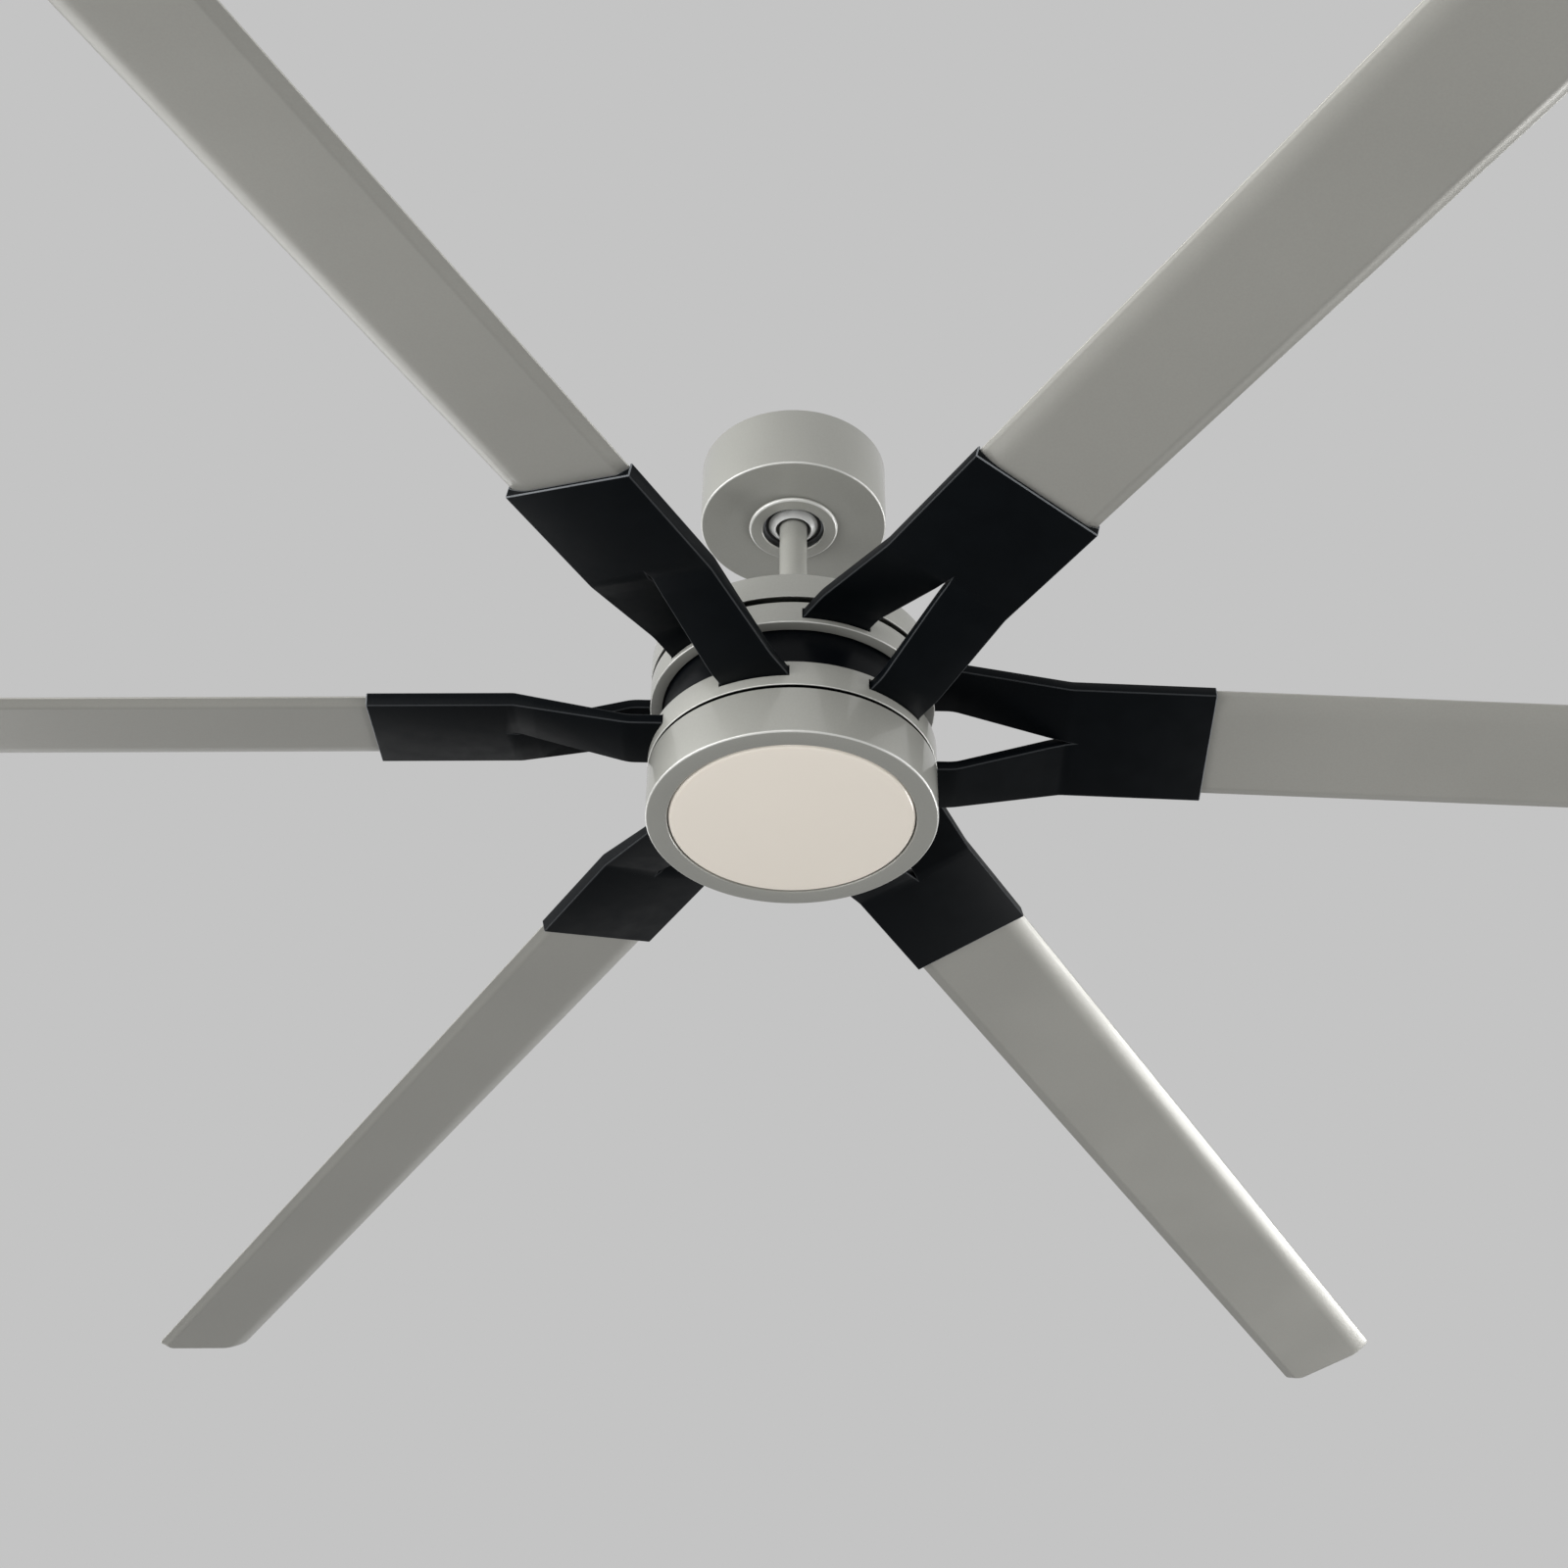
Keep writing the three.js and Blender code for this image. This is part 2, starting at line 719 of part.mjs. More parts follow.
// The hollow shaft, with the collar that the lower bearing and the light hang between
const shaftCollarTop = lowerPlateBottom - seat;
const shaftCollarBottom = lightTop + seat;
const panTop = lightTop - coverWall - seat;
const panBottom = panTop - panPlate;
const nutTop = panBottom - seat;
const shaftBottom = nutTop - nutHeight - shaftBelowNut;
const shaftBore = shaftRadius - shaftWall;
place(
  "motor_shaft",
  turned(
    [
      [shaftBore, shaftTop],
      [shaftRadius, shaftTop],
      [shaftRadius, shaftCollarTop],
      [shaftCollar, shaftCollarTop],
      [shaftCollar, shaftCollarBottom],
      [shaftRadius, shaftCollarBottom],
      [shaftRadius, shaftBottom],
      [shaftBore, shaftBottom],
    ],
    rodSides,
  ),
  brightSteel,
);

// A sealed ball bearing, drawn as one ring whose seals are dished between the two races.
function makeBearing(bottom) {
  const top = bottom + bearingHeight;
  const inner = shaftRadius + seat;
  const middle = (inner + bearingRadius) / 2;
  return turned(
    [
      [inner, bottom],
      [middle, bottom + bearingGroove],
      [bearingRadius, bottom],
      [bearingRadius, top],
      [middle, top - bearingGroove],
      [inner, top],
    ],
    rodSides,
  );
}
const lowerBearingTop = lowerPlateBottom + bearingHeight;
const upperBearingBottom = upperPlateBottom + seat;
const upperBearingTop = upperBearingBottom + bearingHeight;
place("lower_bearing", makeBearing(lowerPlateBottom), brightSteel);
place("upper_bearing", makeBearing(upperBearingBottom), brightSteel);

// Rotor plates, each with six pockets for the bracket tabs
const arcHalfWidth = (bracketWidth / 2) * Math.cos(radians(pitchDegrees));
function pocketCuts(side, tabBottom, reach) {
  const ys = [side * (armSlit - seat), side * (arcHalfWidth + seat)].sort((a, b) => a - b);
  return aboutAxis(bladeCount, () =>
    block([tabEnd - seat, hubRadius + cutOver], ys, [tabBottom - seat, tabBottom + tabThick + reach]),
  );
}

const bracketScrewX = tabEnd + bracketScrewInset;
const bracketScrewY = -(armSlit + arcHalfWidth) / 2;
const bracketScrewHole = bracketScrewRadius + seat;
const bracketScrewTip = upperTabBottom - seat - bracketScrewBite;
const clampRingBottom = upperPlateTop + seat;
const clampRingTop = clampRingBottom + clampRingThick;
const screwWell = (bottom, top) =>
  upright(bracketScrewX, bracketScrewY, bracketScrewHole, bottom, top, screwSides);

// A plate with the bearing let into it from one side, and a lip that holds the bearing in.
function plateWithBearing(bottom, top, bearingTop) {
  return turned(
    [
      [bearingHole, bottom],
      [plateRadius, bottom],
      [plateRadius, top],
      [hubLipInner, top],
      [hubLipInner, bearingTop + seat],
      [bearingHole, bearingTop + seat],
    ],
    ringSides,
  );
}
place(
  "rotor_lower_plate",
  without(
    plateWithBearing(lowerPlateBottom, lowerPlateTop, lowerBearingTop),
    pocketCuts(1, lowerTabBottom, cutOver),
  ),
  castAluminium,
);

const bracketScrewWells = aboutAxis(bladeCount, () => screwWell(bracketScrewTip - seat, upperTabBottom));
place(
  "rotor_upper_plate",
  without(plateWithBearing(upperPlateBottom, upperPlateTop, upperBearingTop), [
    ...pocketCuts(-1, upperTabBottom, cutOver),
    ...bracketScrewWells,
  ]),
  castAluminium,
);

// The ring that clamps the upper tabs, and its six screws
function makeClampRing() {
  const body = ring(clampRingInner, clampRingOuter, clampRingBottom, clampRingTop, hubSides);
  const wells = aboutAxis(bladeCount, () => screwWell(clampRingBottom - cutOver, clampRingTop + cutOver));
  return without(body, wells);
}
place("clamp_ring", makeClampRing(), zincSteel);

// The drum, which is the rotor's yoke, with the magnet ring inside it
const drumTop = upperPlateBottom - seat;
const drumBottom = lowerPlateTop + seat;
const drumBore = drumRadius - drumWall;
const magnetOuter = drumBore - seat;
const magnetInner = magnetOuter - magnetThick;
const motorMiddle = (drumTop + drumBottom) / 2;
place("drum", ring(drumBore, drumRadius, drumBottom, drumTop, ringSides), drumBlack);
place(
  "magnet_ring",
  ring(magnetInner, magnetOuter, motorMiddle - magnetHeight / 2, motorMiddle + magnetHeight / 2, ringSides),
  magnetGrey,
);

// The two cover rings, slotted where the bracket tabs go in
function slotCuts(side, tabBottom) {
  const ys = [side * (armSlit - slotNotch), side * (arcHalfWidth + slotPlay)].sort((a, b) => a - b);
  const zs = [tabBottom - slotPlay, tabBottom + tabThick + slotPlay];
  return aboutAxis(bladeCount, () => block([tabEnd, hubRadius + cutOver], ys, zs));
}
const lipInner = hubRadius - lipReach;

function makeUpperRing() {
  const body = turned(
    [
      [hubRadius, upperRingTop],
      [hubRadius - coverWall, upperRingTop],
      [hubRadius - coverWall, upperRingBottom + ringLip],
      [lipInner, upperRingBottom + ringLip],
      [lipInner, upperRingBottom],
      ...arc(hubRadius - ringLip, upperRingBottom + ringLip, ringLip, 270, 360, crispSteps),
    ],
    ringSides,
  );
  return without(body, slotCuts(-1, upperTabBottom));
}
place("upper_ring", makeUpperRing(), silverPaint);

function makeLowerRing() {
  const body = turned(
    [
      [lipInner, lowerRingTop],
      [lipInner, lowerRingTop - ringLip],
      [hubRadius - coverWall, lowerRingTop - ringLip],
      [hubRadius - coverWall, lowerRingBottom],
      [hubRadius, lowerRingBottom],
      [hubRadius, lowerRingTop],
    ],
    ringSides,
  );
  return without(body, slotCuts(1, lowerTabBottom));
}
place("lower_ring", makeLowerRing(), silverPaint);

// The stator: a toothed core on a hub, with its windings in the slots
const statorRadius = magnetInner - airGap;
const yokeOuter = statorRadius - toothLength;
const yokeInner = yokeOuter - yokeWidth;
const toothPitch = (2 * Math.PI) / toothCount;

function coreOutline(grow) {
  const shoeHalf = (toothPitch / 2) * shoeAngleShare;
  const shoeInner = statorRadius - shoeThick - grow;
  const half = toothHalfWidth + grow;
  const yoke = yokeOuter + grow;
  const polar = (radius, angle) => [radius * Math.cos(angle), radius * Math.sin(angle)];
  return Array.from({ length: toothCount }, (_, i) => {
    const middle = i * toothPitch;
    const atYoke = Math.asin(half / yoke);
    const atShoe = Math.asin(half / shoeInner);
    return [
      polar(yoke, middle - atYoke),
      polar(shoeInner, middle - atShoe),
      polar(shoeInner, middle - shoeHalf),
      polar(statorRadius, middle - shoeHalf),
      polar(statorRadius, middle),
      polar(statorRadius, middle + shoeHalf),
      polar(shoeInner, middle + shoeHalf),
      polar(shoeInner, middle + atShoe),
      polar(yoke, middle + atYoke),
    ];
  }).flat();
}

const coreBottom = motorMiddle - statorHeight / 2;
const coreTop = motorMiddle + statorHeight / 2;
const coreBore = ring(0, yokeInner, coreBottom - cutOver, coreTop + cutOver, hubSides);
place("stator_core", solidOf(raised(coreOutline(0), coreBottom, coreTop)).subtract(coreBore), darkSteel);

const windingSpace = ring(
  yokeOuter + seat,
  statorRadius - shoeThick - windingInset,
  coreBottom - windingOver,
  coreTop + windingOver,
  hubSides,
);
const coreWithPlay = solidOf(raised(coreOutline(seat), coreBottom - seat, coreTop + seat));
place("stator_windings", windingSpace.subtract(coreWithPlay), copperWire);

place(
  "stator_hub",
  ring(
    shaftHole,
    yokeInner - seat,
    motorMiddle - statorHubHeight / 2,
    motorMiddle + statorHubHeight / 2,
    hubSides,
  ),
  castAluminium,
);

// The light: a ring-shaped housing, a pan with posts and hooks, the board, its driver and the lens
const lensHole = lensRadius + lensPlay;
place(
  "light_ring",
  turned(
    [
      [shaftHole, lightTop],
      [hubRadius, lightTop],
      ...arc(hubRadius - coverEdge, lightBottom + coverEdge, coverEdge, 360, 270, cornerSteps),
      [lensHole, lightBottom],
      [lensHole, lightBottom + coverWall],
      [hubRadius - coverWall, lightBottom + coverWall],
      [hubRadius - coverWall, lightTop - coverWall],
      [shaftHole, lightTop - coverWall],
    ],
    ringSides,
  ),
  silverPaint,
);

const lensInner = lensRadius - lensWall;
const skirtTop = lightBottom + lensSkirt;
const lugTop = skirtTop - lugBelowSkirtTop;
const lugBottom = lugTop - lugThick;
const hookTop = lugBottom - seat;
const hookBottom = hookTop - lugThick;
const lugInner = lensInner - lugReach;
const panRadius = lugInner - seat;
const hookReach = lensInner - lensPlay;
const boardTopZ = panBottom - postLength - seat;

// A curved lug between two radii, centred on +X.
function lug(inner, outer, halfAngle, bottom, top) {
  const outline = [
    ...arc(0, 0, outer, -halfAngle, halfAngle, cornerSteps),
    ...arc(0, 0, inner, halfAngle, -halfAngle, cornerSteps),
  ];
  return raised(outline, bottom, top);
}

function makeLightPan() {
  const pan = turned(
    [
      [shaftHole, panTop],
      [panRadius, panTop],
      [panRadius, hookBottom],
      [panRadius - panWall, hookBottom],
      [panRadius - panWall, panBottom],
      [shaftHole, panBottom],
    ],
    hubSides,
  );
  const posts = aboutAxis(postCount, () =>
    upright(-postPlace, 0, postRadius, panBottom - postLength, panBottom + joinOver, screwSides),
  );
  const hookRoot = panRadius - panWall / 2;
  const hooks = aboutAxis(lugCount, () => lug(hookRoot, hookReach, hookHalfAngle, hookBottom, hookTop));
  return joined([pan, ...posts, ...hooks]);
}
place("light_pan", makeLightPan(), boardWhite);

const nutRadius = nutFlats / 2 / Math.cos(Math.PI / nutSides);
const nutBody = ring(0, nutRadius, nutTop - nutHeight, nutTop, nutSides);
const nutBore = ring(0, shaftHole, nutTop - nutHeight - cutOver, nutTop + cutOver, rodSides);
place("shaft_nut", nutBody.subtract(nutBore), brightSteel);

function makeLedBoard() {
  const board = ring(0, ledBoardRadius, boardTopZ - ledBoardThick, boardTopZ, hubSides);
  const chips = (placeRadius, count) =>
    aboutAxis(count, () =>
      block(
        [placeRadius - ledChip / 2, placeRadius + ledChip / 2],
        [-ledChip / 2, ledChip / 2],
        [boardTopZ - ledBoardThick - ledChipHeight, boardTopZ - ledBoardThick / 2],
      ),
    );
  return joined([board, ...chips(ledOuterPlace, ledOuterCount), ...chips(ledInnerPlace, ledInnerCount)]);
}
place("led_board", makeLedBoard(), boardWhite);

const driverTop = panBottom - seat;
const driverOutline = roundedRectangle(driverPlace, 0, driverWidth, driverLength, driverCorner, cornerSteps);
place("led_driver", solidOf(raised(driverOutline, driverTop - driverHeight, driverTop)), receiverBlack);

function makeLens() {
  const flatRadius = lensRadius - lensEdge;
  // The face is a shallow dome from the rounded rim to the middle.
  const dome = (rimZ) =>
    Array.from({ length: domeSteps + 1 }, (_, i) => {
      const share = i / domeSteps;
      return [flatRadius * (1 - share), rimZ - lensCrown * (1 - (1 - share) ** 2)];
    });
  const shell = turned(
    [
      [lensRadius, skirtTop],
      ...arc(flatRadius, lightBottom + lensEdge, lensEdge, 360, 270, cornerSteps).slice(0, -1),
      ...dome(lightBottom),
      ...dome(lightBottom + lensWall).reverse(),
      [lensInner, lightBottom + lensWall + joinOver],
      [lensInner, skirtTop],
    ],
    ringSides,
  );
  const lugRoot = lensInner + lensWall / 2;
  const lugs = aboutAxis(lugCount, () => lug(lugInner, lugRoot, lugHalfAngle, lugBottom, lugTop));
  return joined([shell, ...lugs]);
}
place("lens", makeLens(), opalLens);

// The wiring from the ball's top, past both pins, down the shaft to the light
const wiringInRod = rodBore - wiringRadius - seat;
const wiringInShaft = shaftBore - wiringRadius - seat;
const wiringSections = [
  [wiringInRod, rodTop + wiringAboveRod],
  [wiringInRod, couplerPinZ - pinHole - seat],
  [wiringInShaft, shaftTop + wiringJogAboveShaft],
  [wiringInShaft, shaftBottom - wiringBelowShaft],
].map(([y, z]) => {
  const section = arc(0, y, wiringRadius, 0, 360, wiringSides).slice(0, -1);
  return section.map(([px, py]) => new THREE.Vector3(px, py, z));
});
place("inner_wiring", loft(wiringSections), wiringGrey);

// The blade's own frame: X along the blade, Y across it towards the low edge, Z out of its top
const bladePlaneZ = (lowerTabBottom + upperTabBottom) / 2 + bladePlaneRise;
const bladeFrame = new THREE.Matrix4()
  .makeTranslation(0, 0, bladePlaneZ)
  .multiply(new THREE.Matrix4().makeRotationY(radians(droopDegrees)))
  .multiply(new THREE.Matrix4().makeRotationX(-radians(pitchDegrees)));

const bladeHalf = bracketWidth / 2 - bladeInset;
const underside = trayFloor + seat;
const crownTop = underside + bladeThick;

// Heights of the blade's underside and top across its width, from low edge (+) to high edge (-).
function bladeUnder(y) {
  const intoFold = y - (bladeHalf - trailFold);
  const intoCurl = -y - (bladeHalf - leadCurl);
  if (intoFold > 0) return underside + (trailRise * intoFold) / trailFold;
  if (intoCurl > 0) return underside + leadRise * (intoCurl / leadCurl) ** 2;
  return underside;
}
function bladeOver(y) {
  const across = (y + bladeHalf) / (2 * bladeHalf);
  const leadTop = underside + leadRise + edgeThick;
  const trailTop = underside + trailRise + edgeThick;
  const chordTop = leadTop + (trailTop - leadTop) * across;
  const crown = crownTop - (leadTop + trailTop) / 2;
  return chordTop + crown * (1 - (2 * across - 1) ** 2);
}

// Places across the blade where its underside has a corner, from one inset edge to the other.
function underStations(inset) {
  const edge = bladeHalf - inset;
  const curlStart = bladeHalf - leadCurl;
  const curl = Array.from({ length: curlSteps + 1 }, (_, i) => {
    return -edge + ((edge - curlStart) * i) / curlSteps;
  });
  return [...curl, bladeHalf - trailFold, edge];
}
function bladeOutline(inset, skin) {
  const edge = bladeHalf - inset;
  const under = underStations(inset).map((y) => [y, bladeUnder(y) + skin]);
  const over = Array.from({ length: crownSteps + 1 }, (_, i) => {
    const y = edge - (2 * edge * i) / crownSteps;
    return [y, bladeOver(y) - skin];
  });
  return [...under, ...over];
}

const bladeRoot = trayStart + trayRoot + seat;
const clampMiddle = (bladeRoot + trayEnd) / 2;
const clampScrewX = Array.from({ length: clampScrews }, (_, i) => {
  return clampMiddle + (i - (clampScrews - 1) / 2) * clampScrewSpacing;
});
const bladeScrewTip = trayFloor - bladeScrewBite;
const bladeScrewHoles = (bottom, top) =>
  clampScrewX.map((x) => solidOf(upright(x, 0, bladeScrewRadius + seat, bottom, top, screwSides)));

function makeBlade() {
  const outer = solidOf(alongX(bladeOutline(0, 0), bladeRoot, bladeTip));
  const hollowOutline = bladeOutline(hollowInset, bladeSkin);
  const hollow = solidOf(alongX(hollowOutline, bladeRoot - cutOver, bladeTip - tipWall));
  const plan = [
    ...arc(bladeTip - tipCorner, bladeHalf - tipCorner, tipCorner, 90, 0, cornerSteps),
    ...arc(bladeTip - tipCorner, tipCorner - bladeHalf, tipCorner, 0, -90, cornerSteps),
    [bladeRoot - cutOver, -bladeHalf],
    [bladeRoot - cutOver, bladeHalf],
  ];
  const trimmed = outer.intersect(solidOf(raised(plan, -cutOver, crownTop + cutOver)));
  return without(trimmed, [hollow, ...bladeScrewHoles(-cutOver, crownTop + cutOver)]);
}

// The clamp plate on the blade's root, with its two screws.
function makeBladeClamp() {
  const foot = crownTop + seat;
  const top = foot + clampThick;
  const outline = roundedRectangle(clampMiddle, 0, clampLength, clampWidth, clampCorner, cornerSteps);
  const plate = solidOf(raised(outline, foot, top));
  const screws = clampScrewX.flatMap((x) => [
    upright(x, 0, bladeScrewHead, top - joinOver, top + bladeScrewHeadHeight, screwSides),
    upright(x, 0, bladeScrewRadius, bladeScrewTip, top, screwSides),
  ]);
  return joined([plate, ...screws.map(solidOf)]);
}

// The bracket: a tray that the blade lies in, and two arms that end in level tabs.
const inBladeFrame = (geometry) => geometry.applyMatrix4(bladeFrame);
function armSection(x, y0, y1, z0, z1) {
  return [[y0, z0], [y1, z0], [y1, z1], [y0, z1]].map(([y, z]) => new THREE.Vector3(x, y, z));
}
function makeArm(side, tabBottom) {
  const ends = (halfWidth) => [side * armSlit, side * halfWidth].sort((a, b) => a - b);
  const tray = ends(bracketWidth / 2);
  const tab = ends(arcHalfWidth);
  const inBladeSpace = (x) => {
    return armSection(x, ...tray, 0, trayWallHeight).map((point) => point.applyMatrix4(bladeFrame));
  };
  const bend = armSection(armBend, ...tab, tabBottom, tabBottom + tabThick);
  const end = armSection(tabEnd, ...tab, tabBottom, tabBottom + tabThick);
  return loft([end, bend, inBladeSpace(trayStart), inBladeSpace(trayStart + joinOver)]);
}
function makeBladeBracket() {
  const half = bracketWidth / 2;
  const trayOutline = [
    [-half, 0],
    [half, 0],
    [half, trayWallHeight],
    [bladeHalf + seat, trayWallHeight],
    ...underStations(-seat)
      .reverse()
      .map((y) => [y, Math.min(bladeUnder(y) - seat, trayWallHeight - seat)]),
    [-bladeHalf - seat, trayWallHeight],
    [-half, trayWallHeight],
  ];
  const rootOutline = [[-half, 0], [half, 0], [half, trayWallHeight], [-half, trayWallHeight]];
  const tray = solidOf(inBladeFrame(alongX(trayOutline, trayStart + trayRoot - joinOver, trayEnd)));
  const rootBlock = solidOf(inBladeFrame(alongX(rootOutline, trayStart, trayStart + trayRoot)));
  const body = joined([rootBlock, tray, makeArm(1, lowerTabBottom), makeArm(-1, upperTabBottom)]);
  const wells = clampScrewX.map((x) =>
    solidOf(
      inBladeFrame(upright(x, 0, bladeScrewRadius + seat, bladeScrewTip - seat, underside, screwSides)),
    ),
  );
  const tabWell = solidOf(screwWell(upperTabBottom - cutOver, upperPlateTop + cutOver));
  return without(body, [...wells, tabWell]);
}

const bladeGeometry = inBladeFrame(geometryOf(makeBlade()));
const clampGeometry = inBladeFrame(geometryOf(makeBladeClamp()));
const bladeBracketGeometry = geometryOf(makeBladeBracket());
const bracketScrew = joined(
  [
    upright(
      bracketScrewX,
      bracketScrewY,
      bracketScrewHead,
      clampRingTop + seat,
      clampRingTop + seat + bracketScrewHeadHeight,
      screwSides,
    ),
    upright(
      bracketScrewX,
      bracketScrewY,
      bracketScrewRadius,
      bracketScrewTip,
      clampRingTop + joinOver,
      screwSides,
    ),
  ].map(solidOf),
);

for (let i = 0; i < bladeCount; i += 1) {
  const station = new THREE.Group();
  station.rotation.z = turnAboutAxis(i, bladeCount);
  const parts = [
    [`blade_bracket_${i + 1}`, bladeBracketGeometry, blackCasting],
    [`blade_${i + 1}`, bladeGeometry, bladePaint],
    [`blade_clamp_${i + 1}`, clampGeometry, zincSteel],
    [`bracket_screw_${i + 1}`, geometryOf(bracketScrew), zincSteel],
  ];
  for (const [name, geometry, material] of parts) {
    const mesh = new THREE.Mesh(geometry, material);
    mesh.name = name;
    station.add(mesh);
  }
  fan.add(station);
}

export default fan;
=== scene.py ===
"""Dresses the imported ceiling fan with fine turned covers, forked brackets, long blades and finishes."""

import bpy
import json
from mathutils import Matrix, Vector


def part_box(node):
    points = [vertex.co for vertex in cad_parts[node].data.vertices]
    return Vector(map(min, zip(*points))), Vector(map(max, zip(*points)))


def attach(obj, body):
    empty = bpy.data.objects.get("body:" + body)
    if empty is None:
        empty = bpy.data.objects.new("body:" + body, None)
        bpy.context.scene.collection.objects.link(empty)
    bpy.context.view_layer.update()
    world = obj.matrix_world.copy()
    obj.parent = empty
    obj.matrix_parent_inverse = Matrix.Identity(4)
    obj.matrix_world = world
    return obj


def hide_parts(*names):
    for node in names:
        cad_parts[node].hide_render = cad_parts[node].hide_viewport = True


bl_info = {
    "name": "Six-Blade Ceiling Fan",
    "version": (1, 0, 0),
    "blender": (4, 5, 0),
    "location": "View3D > Sidebar > Ceiling Fan",
    "description": "Dresses the packed model of a ceiling fan with fine meshes and finishes",
    "category": "Object",
}

import json
import math
from functools import cache
from types import SimpleNamespace

import bmesh
import bpy
from bpy.props import FloatProperty, FloatVectorProperty, IntProperty, PointerProperty
from bpy.types import Operator, Panel, PropertyGroup
from mathutils import Matrix, Vector

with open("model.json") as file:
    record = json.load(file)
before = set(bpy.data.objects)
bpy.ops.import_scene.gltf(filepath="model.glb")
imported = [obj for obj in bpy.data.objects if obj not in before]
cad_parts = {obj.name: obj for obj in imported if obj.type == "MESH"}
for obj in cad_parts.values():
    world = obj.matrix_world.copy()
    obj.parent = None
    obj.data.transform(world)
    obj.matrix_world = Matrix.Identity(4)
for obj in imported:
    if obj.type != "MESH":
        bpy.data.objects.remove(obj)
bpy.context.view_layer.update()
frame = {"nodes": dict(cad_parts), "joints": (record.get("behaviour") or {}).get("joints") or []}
MM = 0.001
BLADES = 6


def linear(hex_colour):
    """An sRGB hex colour as linear red, green and blue."""
    channels = [int(hex_colour[i : i + 2], 16) / 255 for i in (1, 3, 5)]
    return [c / 12.92 if c <= 0.04045 else ((c + 0.055) / 1.055) ** 2.4 for c in channels]


def span(node):
    """The lowest and the highest level of a CAD node, in millimetres."""
    low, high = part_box(node)
    return low.z / MM, high.z / MM


def reach(node):
    """The radius of a round CAD node, in millimetres."""
    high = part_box(node)[1]
    return max(high.x, high.y) / MM


def length(name, description, millimetres):
    """A length property: its default is given in millimetres and kept in metres."""
    default = millimetres * MM
    return FloatProperty(name=name, description=description, default=default, unit="LENGTH", precision=5)


